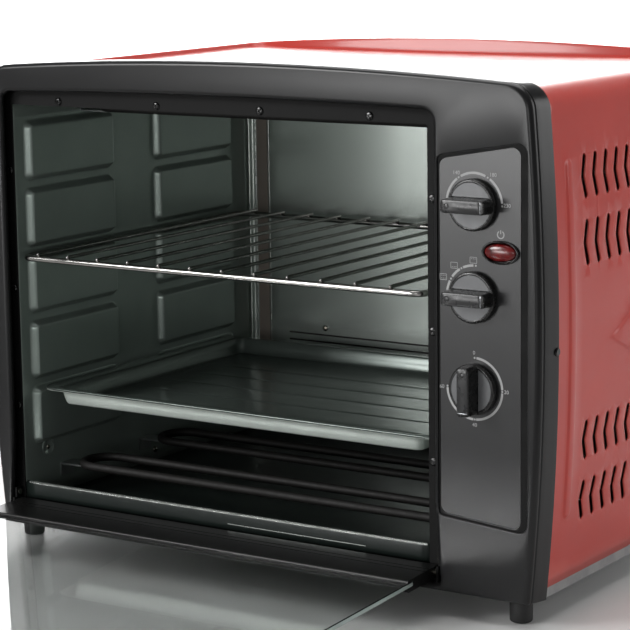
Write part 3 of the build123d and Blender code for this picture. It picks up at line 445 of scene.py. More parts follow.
def fill(
    outer: Array, holes: Sequence[Array] = (), lines: Sequence[Array] = (), loose: Optional[Array] = None
) -> tuple[Array, Array]:
    """Fills a flat region with triangles, following the loops drawn on it.

    Args:
        outer: The region's border, shape (n, 2).
        holes: Loops that stay open.
        lines: Closed loops that edges have to follow.
        loose: More points inside the region.

    Returns:
        The points and the triangles.
    """
    loops = [outer, *holes, *lines]
    edges: list[tuple[int, int]] = []
    start = 0
    for loop in loops:
        index = np.arange(len(loop)) + start
        edges.extend(zip(index.tolist(), np.roll(index, -1).tolist()))
        start += len(loop)
    points = np.vstack(loops if loose is None else [*loops, loose])
    made = delaunay_2d_cdt([Vector(point) for point in points.tolist()], edges, [], 0, 1e-6)
    flat = np.array([tuple(point) for point in made[0]])
    triangles = np.array(made[2])
    centres = flat[triangles].mean(axis=1)
    keep = inside(centres, outer)
    for hole in holes:
        keep &= ~inside(centres, hole)
    return flat, triangles[keep]


def smooth_step(value: Array) -> Array:
    """Rises from 0 to 1 as 3t^2 - 2t^3, with t the value held between 0 and 1."""
    held = np.clip(value, 0.0, 1.0)
    return held * held * (3.0 - 2.0 * held)


def soft_ramp(value: Array) -> Array:
    """A straight ramp from 0 to 1 whose two ends are a little rounded, as a pressed sheet's slope is."""
    return 0.35 * smooth_step(value) + 0.65 * np.clip(value, 0.0, 1.0)


def rounded_distance(x: Array, y: Array, half_x: float, half_y: float, corner: float) -> Array:
    """Signed distance to a rounded rectangle about the origin, negative inside.

    Args:
        x: Places along the first axis.
        y: Places along the second axis.
        half_x: Half length along the first axis.
        half_y: Half length along the second axis.
        corner: Corner radius.

    Returns:
        The distance to the outline.
    """
    over_x = np.abs(x) - (half_x - corner)
    over_y = np.abs(y) - (half_y - corner)
    outer = np.hypot(np.maximum(over_x, 0.0), np.maximum(over_y, 0.0))
    return outer + np.minimum(np.maximum(over_x, over_y), 0.0) - corner


def rounded_loop(half_x: float, half_y: float, corner: float, steps: int = 8) -> Array:
    """Rounded rectangle about the origin: four quarter circles joined by straight edges.

    Args:
        half_x: Half length along the first axis.
        half_y: Half length along the second axis.
        corner: Corner radius.
        steps: Points on each quarter circle, less one.

    Returns:
        The loop, anticlockwise, shape (4 * (steps + 1), 2).
    """
    angles = np.linspace(0.0, FULL_TURN / 4.0, steps + 1)
    starts = np.arange(4) * FULL_TURN / 4.0
    turn = (starts[:, None] + angles[None, :]).ravel()
    signs_x = np.repeat([1.0, -1.0, -1.0, 1.0], steps + 1)
    signs_y = np.repeat([1.0, 1.0, -1.0, -1.0], steps + 1)
    x = signs_x * (half_x - corner) + corner * np.cos(turn)
    return np.stack([x, signs_y * (half_y - corner) + corner * np.sin(turn)], -1)


def revolved(profile: Array, sides: int = 48, squash: tuple[float, float] = (1.0, 1.0)) -> Skin:
    """Turns a profile of radius and height about +Z; ends at radius 0 close on the axis.

    Args:
        profile: Array of (radius, height).
        sides: Steps round the axis.
        squash: Scale of the X and Y radius, for an oval.

    Returns:
        The surface.
    """
    turn = np.arange(sides) * FULL_TURN / sides
    radius = profile[:, :1]
    height = np.repeat(profile[:, 1:2], sides, axis=1)
    points = np.stack([radius * np.cos(turn) * squash[0], radius * np.sin(turn) * squash[1], height], -1)
    return grid_skin(points, close_second=True)


def arc(centre: tuple[float, float], radius: float, start: float, end: float, steps: int) -> Array:
    """Points on a circle arc, in degrees from start to end."""
    turn = np.radians(np.linspace(start, end, steps + 1))
    return np.stack([centre[0] + radius * np.cos(turn), centre[1] + radius * np.sin(turn)], -1)


def tube(
    path: Array, radius: float, up: Point = UP, sides: int = 12, closed: bool = False, dome: float = 0.0
) -> Skin:
    """Carries a circle along a flat path; the ring's axes are the path's side direction and up.

    Args:
        path: Points of the path, shape (n, 3).
        radius: Radius of the circle.
        up: The normal of the plane that holds the path.
        sides: Points round the circle.
        closed: Whether the path is a loop.
        dome: How far rounded ends stand out past an open path.

    Returns:
        The closed surface.
    """
    if closed:
        ahead = np.roll(path, -1, axis=0) - np.roll(path, 1, axis=0)
    else:
        ahead = np.gradient(path, axis=0)
    ahead = ahead / np.linalg.norm(ahead, axis=1, keepdims=True)
    normal = np.array(up, float)
    aside = np.cross(ahead, normal)
    aside = aside / np.linalg.norm(aside, axis=1, keepdims=True)
    turn = np.arange(sides) * FULL_TURN / sides
    across, rise = np.cos(turn)[None, :, None], np.sin(turn)[None, :, None]
    ring = aside[:, None, :] * across + normal[None, None, :] * rise
    if closed:
        return grid_skin(path[:, None, :] + radius * ring, close_first=True, close_second=True)
    lift = np.linspace(0.0, FULL_TURN / 4.0, 5)[1:]
    first = path[0] - ahead[0] * dome * np.sin(lift)[::-1, None]
    last = path[-1] + ahead[-1] * dome * np.sin(lift)[:, None]
    spine = np.vstack([first, path, last])
    rings = np.concatenate([np.repeat(ring[:1], 4, axis=0), ring, np.repeat(ring[-1:], 4, axis=0)])
    size = np.concatenate([np.cos(lift)[::-1], np.ones(len(path)), np.cos(lift)]) * radius
    return grid_skin(spine[:, None, :] + size[:, None, None] * rings, close_second=True)


def face_plane(x: float, setback: float, z: float, turn: float = 0.0) -> Matrix:
    """Place of a part that faces the front: its local Z points to the front and its X to the right.

    Args:
        x: Place across the front.
        setback: Distance behind the fascia's front.
        z: Height.
        turn: Degrees anticlockwise as seen from the front.

    Returns:
        The placing matrix, in millimetres.
    """
    upright = Matrix(((1, 0, 0), (0, 0, -1), (0, 1, 0))).to_4x4()
    return Matrix.Translation((x, FRONT + setback, z)) @ upright @ Matrix.Rotation(math.radians(turn), 4, "Z")


def make_piece(
    name: str,
    skin: Skin,
    body: str,
    finish: Finish,
    replaces: Sequence[str] = (),
    sharp: float = 34.0,
    wall: float = 0.0,
    outward: Optional[Point] = None,
) -> bpy.types.Object:
    """Makes a Blender object from a skin and ties it to the frame.

    Args:
        name: The piece's name.
        skin: Its surface, in millimetres.
        body: The body of the frame that it rides on.
        finish: Its finish.
        replaces: Frame nodes that it stands for.
        sharp: Edges that bend more than this many degrees stay crisp.
        wall: Thickness that is given to an open sheet, inwards.
        outward: For an open sheet, the direction that its front looks to.

    Returns:
        The object.
    """
    mesh = bpy.data.meshes.new(name)
    mesh.from_pydata((skin.points * MM).tolist(), [], skin.faces)
    work = bmesh.new()
    work.from_mesh(mesh)
    bmesh.ops.remove_doubles(work, verts=work.verts, dist=MERGE_DISTANCE)
    bmesh.ops.dissolve_degenerate(work, edges=work.edges, dist=MERGE_DISTANCE / 4.0)
    bmesh.ops.recalc_face_normals(work, faces=work.faces)
    if outward is not None:
        total = sum((face.normal * face.calc_area() for face in work.faces), Vector())
        if total.dot(Vector(outward)) < 0.0:
            bmesh.ops.reverse_faces(work, faces=work.faces)
    work.to_mesh(mesh)
    work.free()
    mesh.polygons.foreach_set("use_smooth", np.ones(len(mesh.polygons), bool))
    mesh.set_sharp_from_angle(angle=math.radians(sharp))
    mesh.materials.append(finish.material())
    piece = bpy.data.objects.new(name, mesh)
    bpy.context.scene.collection.objects.link(piece)
    if wall:
        thicken = piece.modifiers.new("wall", "SOLIDIFY")
        thicken.thickness = wall * MM
        thicken.offset = -1.0
    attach(piece, body)
    if replaces:
        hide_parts(*replaces)
    log.info("%s: %d faces on %s", name, len(mesh.polygons), body)
    return piece


def dress(nodes: Sequence[str], finish: Finish) -> None:
    """Gives frame nodes a finish.

    Args:
        nodes: The nodes' names.
        finish: The finish that they take.
    """
    for name in nodes:
        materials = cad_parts[name].data.materials
        materials.clear()
        materials.append(finish.material())
        log.info("%s takes %s", name, finish.name)


def box_of(node: str) -> Array:
    """The lowest and highest corner of a node's box, in millimetres, as an array of shape (2, 3)."""
    return np.array([tuple(corner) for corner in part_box(node)]) / MM


FRONT = float(box_of("fascia")[0, 1])


@dataclass(frozen=True)
class BodyShape:
    """The outline that the fascia and the housing share: bulged sides under an arched roof."""

    half_width: float = 257.0
    height: float = 396.0
    bulge_radius: float = 1850.0
    bulge_height: float = 207.0
    roof_radius: float = 3300.0

    def side_x(self, z: Array, cut: float) -> Array:
        """Half width at a height: a circle arc whose middle is at the bulge height."""
        radius = self.bulge_radius - cut
        return self.half_width - self.bulge_radius + np.sqrt(radius**2 - (z - self.bulge_height) ** 2)

    def roof_z(self, x: Array, cut: float) -> Array:
        """Roof height across the width: a circle arc about the middle."""
        radius = self.roof_radius - cut
        return self.height - self.roof_radius + np.sqrt(radius**2 - x**2)

    def shoulder(self, side_cut: float, roof_cut: float, corner: float) -> tuple[float, float, float, float]:
        """Finds the corner circle that touches the side arc and the roof arc from inside.

        Args:
            side_cut: How far the side lies inside the widest outline.
            roof_cut: How far the roof lies under the highest outline.
            corner: Radius of the corner circle.

        Returns:
            Its centre's X and Z, and the directions from it to the side's and the roof's touching points.
        """
        side_centre = np.array([self.half_width - self.bulge_radius, self.bulge_height])
        roof_centre = np.array([0.0, self.height - self.roof_radius])
        reach_side = self.bulge_radius - side_cut - corner
        reach_roof = self.roof_radius - roof_cut - corner
        between = roof_centre - side_centre
        gap = float(np.linalg.norm(between))
        along = (reach_side**2 - reach_roof**2 + gap**2) / (2.0 * gap)
        aside = math.sqrt(reach_side**2 - along**2)
        unit = between / gap
        foot = side_centre + along * unit
        side_step = aside * np.array([-unit[1], unit[0]])
        options = [foot + side_step, foot - side_step]
        centre = max(options, key=lambda point: point[0] + point[1])
        side_turn = math.degrees(math.atan2(*(centre - side_centre)[::-1]))
        roof_turn = math.degrees(math.atan2(*(centre - roof_centre)[::-1]))
        return float(centre[0]), float(centre[1]), side_turn, roof_turn

    def loop(
        self, side_cut: float, roof_cut: float, bottom: float, corner: float, heel: float = 2.0
    ) -> Array:
        """The closed outline, anticlockwise from the middle of the bottom.

        Args:
            side_cut: How far the sides lie inside the widest outline.
            roof_cut: How far the roof lies under the highest outline.
            bottom: Height of the flat bottom.
            corner: Radius of the top corners.
            heel: Radius of the bottom corners.

        Returns:
            Points (x, z); the count doesn't depend on the sizes, so outlines loft together.
        """
        side_centre = (self.half_width - self.bulge_radius, self.bulge_height)
        radius = self.bulge_radius - side_cut
        heel_z = bottom + heel
        heel_x = side_centre[0] + math.sqrt((radius - heel) ** 2 - (heel_z - self.bulge_height) ** 2)
        heel_turn = math.degrees(math.atan2(heel_z - self.bulge_height, heel_x - side_centre[0]))
        centre_x, centre_z, side_turn, roof_turn = self.shoulder(side_cut, roof_cut, corner)
        base = np.stack([np.linspace(0.0, heel_x, 25), np.full(25, bottom)], -1)
        half = np.vstack(
            [
                base[:-1],
                arc((heel_x, heel_z), heel, -90.0, heel_turn, 5)[:-1],
                arc(side_centre, radius, heel_turn, side_turn, 36)[:-1],
                arc((centre_x, centre_z), corner, side_turn, roof_turn, 12)[:-1],
                arc((0.0, self.height - self.roof_radius), self.roof_radius - roof_cut, roof_turn, 90.0, 26),
            ]
        )
        return np.vstack([half, half[-2:0:-1] * (-1.0, 1.0)])


BODY = BodyShape()


def upright(loop: Array, setback: float) -> Array:
    """Stands a loop of (x, z) up at a setback behind the fascia's front."""
    return np.stack([loop[:, 0], np.full(len(loop), FRONT + setback), loop[:, 1]], -1)


def carried(section: Array, x: Array) -> Array:
    """Carries a section of (setback, z) along X and returns the grid, shape (places, section, 3)."""
    points = np.empty((len(x), len(section), 3))
    points[..., 0] = x[:, None]
    points[..., 1:] = section + (FRONT, 0.0)
    return points


def flat_fill(setback: float, outer: Array, holes: Sequence[Array] = ()) -> Skin:
    """An upright flat face at a setback, with loops left open.

    Args:
        setback: Distance behind the fascia's front.
        outer: The border as (x, z).
        holes: Loops that stay open.

    Returns:
        The face in triangles.
    """
    flat, triangles = fill(outer, holes)
    return Skin(upright(flat, setback), triangles.tolist())


@dataclass
class Fascia:
    """The black front moulding: round rim with a shadow groove, stepped opening, sunk control field."""

    foot_height: float = 18.0
    depth: float = 19.5
    draft: float = 5.8
    wall: float = 2.6
    face: float = 3.5
    rim: float = 3.6
    corner: float = 20.0
    opening: tuple[float, float, float, float] = (-231.0, 166.0, 24.0, 367.0)
    opening_rise: float = 3.0
    opening_corner: float = 9.0
    flare_height: float = 84.0
    flare: float = 4.0
    lip: float = 3.4
    jamb_step: float = 6.0
    jamb_wall: float = 1.6
    jamb_depth: float = 11.6
    field_left: float = 171.0
    plate_right: float = 236.0
    ledge_right: float = 239.0
    ledge_margin: float = 2.5
    field_low: float = 78.0
    field_high: float = 333.0
    top_slope: float = 10.0
    bottom_slope: float = 5.0
    field_corner: float = 6.0
    ledge_depth: float = 1.2
    plate_depth: float = 2.5
    fit: float = 0.3
    shaft_hole: float = 5.0
    lamp_hole: tuple[float, float] = (13.5, 7.0)

    def opening_loop(self, grow: float, low: Optional[float] = None) -> Array:
        """Outline of the door opening: straight sides that flare near the sill, under a shallow arch.

        Args:
            grow: How far the sides and top lie outside the opening's edge.
            low: Height of the bottom edge, or none for the opening's own.

        Returns:
            The loop as (x, z), anticlockwise from the bottom left.
        """
        left, right, bottom, top = self.opening
        bottom = bottom if low is None else low
        middle = (left + right) / 2.0
        half = (right - left) / 2.0 + grow
        radius = self.opening_corner + grow
        across = np.linspace(half - radius, radius - half, 41)
        arch = top + grow + self.opening_rise * (1.0 - (across / half) ** 2)
        centre_z = arch[0] - radius
        sill = np.linspace(-half - self.flare, half + self.flare, 41)
        right_side = np.array([[half, self.flare_height], [half, (self.flare_height + centre_z) / 2.0]])
        round_right = arc((half - radius, centre_z), radius, 0.0, 90.0, 8)
        round_left = round_right[::-1] * (-1.0, 1.0)
        loop = np.vstack(
            [
                np.stack([sill, np.full(41, bottom)], -1),
                right_side,
                round_right[:-1],
                np.stack([across, arch], -1),
                round_left[1:],
                right_side[::-1] * (-1.0, 1.0),
            ]
        )
        return loop + (middle, 0.0)

    def field_loop(self, right: float, grow: float) -> Array:
        """Outline of the control field: its top climbs and its bottom falls to the right.

        Args:
            right: Place of the right edge.
            grow: How far the outline lies outside that shape.

        Returns:
            The loop as (x, z), anticlockwise.
        """
        width = right - self.field_left
        climb = width * math.tan(math.radians(self.top_slope))
        fall = width * math.tan(math.radians(self.bottom_slope))
        corners = np.array(
            [
                [self.field_left - grow, self.field_low - grow],
                [right + grow, self.field_low - fall - grow],
                [right + grow, self.field_high + climb + grow],
                [self.field_left - grow, self.field_high + grow],
            ]
        )
        return rounded_corners(corners, self.field_corner + grow / 2.0, 6)

    def holes(self) -> list[Array]:
        """The holes behind the control plate: three for the shafts and an oval one for the lamp."""
        turn = np.arange(24) * FULL_TURN / 24
        ring = np.stack([np.cos(turn), np.sin(turn)], -1)
        rounds = [ring * self.shaft_hole + (CONTROL_X, height) for height in CONTROL_HEIGHTS.values()]
        return [*rounds, ring * self.lamp_hole + LAMP_PLACE]

    def outer_loops(self) -> list[Array]:
        """The outer skin from the front face round the rim, over a groove and back along the return.

        The rim is a quarter circle: at angle t the outline lies rim * (1 - sin t) inside and
        rim * (1 - cos t) behind.
        """
        loops = []
        for turn in np.radians(np.linspace(0.0, 90.0, 8)):
            inset = self.rim * (1.0 - math.sin(turn))
            loops.append(self.body_loop(self.rim * (1.0 - math.cos(turn)), inset))
        groove = 0.6
        for setback, inset in ((4.0, 0.1), (4.4, groove), (5.0, groove), (5.4, 0.1), (6.0, 0.0)):
            loops.append(self.body_loop(setback, inset))
        for setback in (10.0, 14.0, self.depth - 0.5):
            loops.append(self.body_loop(setback, 0.0))
        loops.append(self.body_loop(self.depth, 0.5))
        loops.append(self.body_loop(self.depth, self.wall))
        return loops

    def body_loop(self, setback: float, inset: float) -> Array:
        """The drafted outer outline at a setback, moved inwards by an inset, standing in place."""
        drafted = self.draft * (1.0 - setback / self.depth)
        outline = BODY.loop(drafted + inset, inset, self.foot_height + inset, self.corner - inset)
        return upright(outline, setback)

    def skin(self) -> Skin:
        """The whole moulding as one closed surface."""
        outer = self.outer_loops()
        inner_face = BODY.loop(
            self.draft + self.wall, self.wall, self.foot_height + self.wall, self.corner - self.wall
        )
        outer.append(upright(inner_face, self.face))
        mouth = []
        for turn in np.radians(np.linspace(0.0, 90.0, 7)):
            grow = self.lip * (1.0 - math.sin(turn))
            loop = self.opening_loop(grow, self.opening[2] - grow)
            mouth.append(upright(loop, self.lip * (1.0 - math.cos(turn))))
        step = self.opening_loop(self.jamb_step, self.opening[2] - 0.5)
        wall = self.opening_loop(self.jamb_step + self.jamb_wall, self.opening[2] - 1.6)
        mouth += [upright(self.opening_loop(0.0), self.face), upright(step, self.face)]
        mouth += [upright(step, self.jamb_depth), upright(wall, self.jamb_depth), upright(wall, self.face)]
        ledge = [
            upright(self.field_loop(self.ledge_right, self.ledge_margin + grow), setback)
            for grow, setback in ((0.9, 0.0), (0.4, 0.12), (0.1, 0.45), (0.0, 0.9), (0.0, self.ledge_depth))
        ]
        seat = [
            upright(self.field_loop(self.plate_right, self.fit + grow), setback)
            for grow, setback in (
                (0.5, self.ledge_depth), (0.1, self.ledge_depth + 0.3), (0.0, self.plate_depth),
            )
        ]
        holes = self.holes()
        rims = [loft([upright(hole, self.plate_depth), upright(hole, self.face)]) for hole in holes]
        flats = [
            flat_fill(0.0, outer[0][:, ::2], [mouth[0][:, ::2], ledge[0][:, ::2]]),
            flat_fill(self.ledge_depth, ledge[-1][:, ::2], [seat[0][:, ::2]]),
            flat_fill(self.plate_depth, seat[-1][:, ::2], holes),
            flat_fill(self.face, inner_face, [wall, *holes]),
        ]
        return loft(outer).joined(loft(mouth), loft(ledge), loft(seat), *rims, *flats)

    def painted_shade_ledge(self) -> Skin:
        """Painted shade round the control plate: a thin, dark, matt ring on the ledge's floor, where the
        step's shadow falls.
        """
        outer = self.field_loop(self.ledge_right, self.ledge_margin - 0.1)
        inner = self.field_loop(self.plate_right, self.fit + 0.6)
        low, high = self.ledge_depth + 0.02, self.ledge_depth - 0.1
        rings = [upright(outer, low), upright(outer, high), upright(inner, high), upright(inner, low)]
        return grid_skin(np.stack(rings), close_first=True, close_second=True)

    def build(self) -> None:
        """Makes the moulding and dresses the frame behind it."""
        for name, skin, finish, nodes in (
            ("fascia_moulding", self.skin(), FASCIA_BLACK, ["fascia"]),
            # The ring on the ledge is painted shade.
            ("fascia_shadow_ledge", self.painted_shade_ledge(), LEDGE_PAINTED_SHADE, []),
        ):
            make_piece(name, skin, "chassis", finish, nodes, sharp=40.0)
        dress(["front_frame"], FRAME_BLACK)
        dress(["control_plate"], PLATE_BLACK)


def rounded_corners(corners: Array, radius: float, steps: int) -> Array:
    """Rounds a convex polygon's corners with circle arcs that touch both of its sides.

    Args:
        corners: The polygon, anticlockwise, shape (n, 2).
        radius: The arcs' radius.
        steps: Points on each arc, less one.

    Returns:
        The loop.
    """
    ahead = np.roll(corners, -1, axis=0) - corners
    ahead = ahead / np.linalg.norm(ahead, axis=1, keepdims=True)
    behind = -np.roll(ahead, 1, axis=0)
    half_angle = np.arccos(np.clip((ahead * behind).sum(axis=1), -1.0, 1.0)) / 2.0
    middle = ahead + behind
    middle = middle / np.linalg.norm(middle, axis=1, keepdims=True)
    centre = corners + middle * (radius / np.sin(half_angle))[:, None]
    start = np.arctan2(-np.roll(ahead, 1, axis=0)[:, 0], np.roll(ahead, 1, axis=0)[:, 1])
    sweep = math.pi - 2.0 * half_angle
    turn = start[:, None] + sweep[:, None] * np.linspace(0.0, 1.0, steps + 1)[None, :]
    ring = np.stack([np.cos(turn), np.sin(turn)], -1)
    return (centre[:, None, :] + radius * ring).reshape(-1, 2)


@dataclass
class Housing:
    """The red sheet over sides and roof: bead and lozenge, chevron air slots, sunk roof panel."""

    inset: float = 2.9
    bottom: float = 26.0
    front: float = 15.5
    back: float = 385.0
    corner: float = 19.1
    sheet: float = 1.0
    emboss: float = 1.4
    emboss_run: float = 2.2
    bead: tuple[float, float, float, float] = (44.5, 203.0, 4.5, 129.0)
    lozenge: tuple[float, float, float, float] = (195.0, 196.0, 90.0, 40.0)
    slot_start: float = 64.0
    slot_pitch: float = 17.0
    slot_count: int = 9
    slot_width: float = 4.6
    slot_point: float = 4.0
    slot_rows: tuple[tuple[float, float], ...] = (
        (302.0, 334.0), (254.0, 287.0), (112.0, 141.0), (67.0, 96.0),
    )
    coin_width: float = 1.5
    coin_depth: float = 0.5
    panel_height: float = 382.0
    front_band: float = 34.0
    rear_band: float = 40.0
    recess_half: float = 224.0
    recess_corner: float = 14.0
    recess_run: float = 3.0
    mesh_step: float = 13.0

    def depth_lines(self) -> Array:
        """Setbacks of the lines that run round the sheet, closer where the roof steps down."""
        plain = np.arange(self.front, self.back, self.mesh_step)
        near = np.arange(-1.0, 15.0, 1.0)
        steps = [near + self.front_band, self.back - self.rear_band - near]
        lines = np.sort(np.concatenate([plain, *steps, [self.back]]))
        return lines[np.concatenate([[True], np.diff(lines) > 0.4])]

    def chevron_loop(self, low: float, high: float, grow: float) -> Array:
        """One bent slot: two straight runs that meet at a point towards the front, with round ends.

        Args:
            low: Height of the lower end.
            high: Height of the upper end.
            grow: How far the outline lies outside the slot.

        Returns:
            The loop about the slot's front point, as (setback, z).
        """
        half = self.slot_width / 2.0 + grow
        rise = (high - low) / 2.0 - self.slot_width / 2.0
        lean = math.degrees(math.atan2(self.slot_point, rise))
        top = (self.slot_point + self.slot_width / 2.0, rise)
        upper = arc(top, half, 180.0 - lean, -lean, 6)
        lower = upper[::-1] * (1.0, -1.0)
        knee = half / math.cos(math.radians(lean))
        middle = self.slot_width / 2.0
        loop = np.vstack([[[middle - knee, 0.0]], upper, [[middle + knee, 0.0]], lower])
        return loop + (0.0, (low + high) / 2.0)

    def slot_loops(self, grow: float) -> list[Array]:
        """All slot outlines of one side, grown by an amount."""
        return [
            self.chevron_loop(low, high, grow) + (self.slot_start + self.slot_pitch * place, 0.0)
            for low, high in self.slot_rows
            for place in range(self.slot_count)
        ]

    def lozenge_distance(self, setback: Array, z: Array) -> Array:
        """Signed distance to the lozenge's edges, measured across them."""
        middle, height, half_length, half_height = self.lozenge
        across = np.abs(setback - middle) * half_height + np.abs(z - height) * half_length
        return (across - half_length * half_height) / math.hypot(half_length, half_height)

    def pressed(self, setback: Array, z: Array) -> Array:
        """How far the side stands out: a step at the bead and the lozenge, a dip at each slot's edge."""
        middle, height, half_width, half_height = self.bead
        bead = rounded_distance(setback - middle, z - height, half_width, half_height, half_width)
        nearest = np.minimum(bead, self.lozenge_distance(setback, z))
        raised = self.emboss * smooth_step(0.5 - nearest / self.emboss_run)
        dip = np.zeros_like(setback)
        for low, high in self.slot_rows:
            along = np.abs(z - (low + high) / 2.0)
            rise = (high - low) / 2.0
            place = np.round((setback - self.slot_start - self.slot_width) / self.slot_pitch)
            start = self.slot_start + self.slot_pitch * np.clip(place, 0, self.slot_count - 1)
            centre = start + self.slot_width / 2.0 + self.slot_point * along / rise
            gap = np.maximum(np.abs(setback - centre) - self.slot_width / 2.0, along - rise)
            dip = np.maximum(dip, smooth_step(1.0 - gap / self.coin_width))
        return raised - self.coin_depth * dip

    def contour(self, distance: float) -> list[Array]:
        """Mesh lines that follow the bead and the lozenge at a distance from their edges."""
        middle, height, half_width, half_height = self.bead
        bead = rounded_loop(half_width + distance, half_height + distance, half_width + distance - 0.05, 5)
        long_sides = np.linspace(-1.0, 1.0, 13)[1:-1, None] * (0.0, half_height - half_width)
        right = long_sides + (half_width + distance, 0.0)
        left = long_sides[::-1] - (half_width + distance, 0.0)
        bead = np.vstack([bead[:12], left, bead[12:], right])
        centre, mid_height, half_length, half_rise = self.lozenge
        grow = 1.0 + distance * math.hypot(half_length, half_rise) / (half_length * half_rise)
        tips = np.array([[half_length, 0.0], [0.0, half_rise], [-half_length, 0.0], [0.0, -half_rise]]) * grow
        share = np.linspace(0.0, 1.0, 9)[:-1, None]
        rhombus = np.vstack([tips[side] * (1.0 - share) + tips[(side + 1) % 4] * share for side in range(4)])
        return [bead + (middle, height), rhombus + (centre, mid_height)]

    def side_skin(self, lines: Array) -> Skin:
        """The right side as one sheet whose mesh follows the slots, the bead and the lozenge.

        Args:
            lines: Setbacks at which the roof joins.

        Returns:
            The open sheet.
        """
        _, centre_z, side_turn, _ = BODY.shoulder(self.inset, self.inset, self.corner)
        top = centre_z + self.corner * math.sin(math.radians(side_turn))
        rows = np.linspace(self.bottom, top, 32)[1:-1]
        border = np.vstack(
            [
                np.stack([lines, np.full(len(lines), self.bottom)], -1),
                np.stack([np.full(len(rows), self.back), rows], -1),
                np.stack([lines[::-1], np.full(len(lines), top)], -1),
                np.stack([np.full(len(rows), self.front), rows[::-1]], -1),
            ]
        )
        slots = self.slot_loops(0.0)
        rings = self.slot_loops(self.coin_width)
        contours = [loop for distance in (-1.5, -0.5, 0.5, 1.5) for loop in self.contour(distance)]
        across, up = np.meshgrid(
            np.arange(22.0, self.back - 4.0, self.mesh_step), np.arange(36.0, top - 4.0, 11.0)
        )
        loose = np.stack([across.ravel(), up.ravel()], -1)
        clear = np.ones(len(loose), bool)
        for loop in rings:
            clear &= ~inside(loose, loop)
        flat, triangles = fill(border, slots, [*rings, *contours], loose[clear])
        out = BODY.side_x(flat[:, 1], self.inset) + self.pressed(flat[:, 0], flat[:, 1])
        return Skin(np.stack([out, FRONT + flat[:, 0], flat[:, 1]], -1), triangles.tolist())

    def roof_skin(self, lines: Array) -> Skin:
        """The roof and both shoulders on one grid; a smooth step lowers the panel inside its outline."""
        centre_x, centre_z, side_turn, roof_turn = BODY.shoulder(self.inset, self.inset, self.corner)
        bend = arc((centre_x, centre_z), self.corner, side_turn, roof_turn, 10)
        edge = float(bend[-1, 0])
        plain = np.arange(0.0, edge, 16.0)
        fine = self.recess_half - np.arange(-2.0, 15.0, 1.0)
        across = np.sort(np.concatenate([plain, fine[fine < edge - 0.6]]))[::-1]
        across = across[np.concatenate([[True], -np.diff(across) > 0.3])]
        roof = np.stack([across, BODY.roof_z(across, self.inset)], -1)
        half = np.vstack([bend, roof])
        line = np.vstack([half, half[-2::-1] * (-1.0, 1.0)])
        x, setback = np.meshgrid(line[:, 0], lines, indexing="ij")
        height = np.repeat(line[:, 1:2], len(lines), axis=1)
        half_length = (self.back - self.front_band - self.rear_band) / 2.0
        middle = self.front_band + half_length
        gap = rounded_distance(x, setback - middle, self.recess_half, half_length, self.recess_corner)
        sunk = smooth_step(-gap / self.recess_run)
        flat_or_roof = np.where(np.abs(x) < edge, self.panel_height, height)
        z = height + (flat_or_roof - height) * sunk
        return grid_skin(np.stack([x, FRONT + setback, z], -1))

    def build(self) -> None:
        """Makes the housing and dresses the plain sheet parts under and behind it."""
        lines = self.depth_lines()
        right = self.side_skin(lines)
        left = Skin(right.points * (-1.0, 1.0, 1.0), [face[::-1] for face in right.faces])
        sheet = right.joined(left, self.roof_skin(lines))
        make_piece(
            "housing_sheet", sheet, "chassis", HOUSING_RED, ["outer_housing"],
            sharp=50.0, wall=self.sheet, outward=(0.0, 0.0, 1.0),
        )
        dress(["back_panel", "base_plate", "heat_shield", "control_bracket", "heater_tabs"], GALVANISED)


def spaced_lines(
    start: float, end: float, step: float, edges: Sequence[float], reach: float = 5.0, fine: float = 0.9
) -> Array:
    """Grid lines from start to end, closer near given edges.

    Args:
        start: First line.
        end: Last line.
        step: Distance between plain lines.
        edges: Places that need close lines.
        reach: How far the close lines go each side of an edge.
        fine: Distance between close lines.

    Returns:
        The lines in order.
    """
    plain = np.linspace(start, end, max(2, int(round((end - start) / step)) + 1))
    close = [np.arange(edge - reach, edge + reach + fine / 2.0, fine) for edge in edges]
    lines = np.unique(np.round(np.concatenate([plain, *close]), 3))
    lines = lines[(lines >= start) & (lines <= end)]
    keep = np.concatenate([[True], np.diff(lines) > fine * 0.45])
    keep[-1] = True
    return lines[keep]


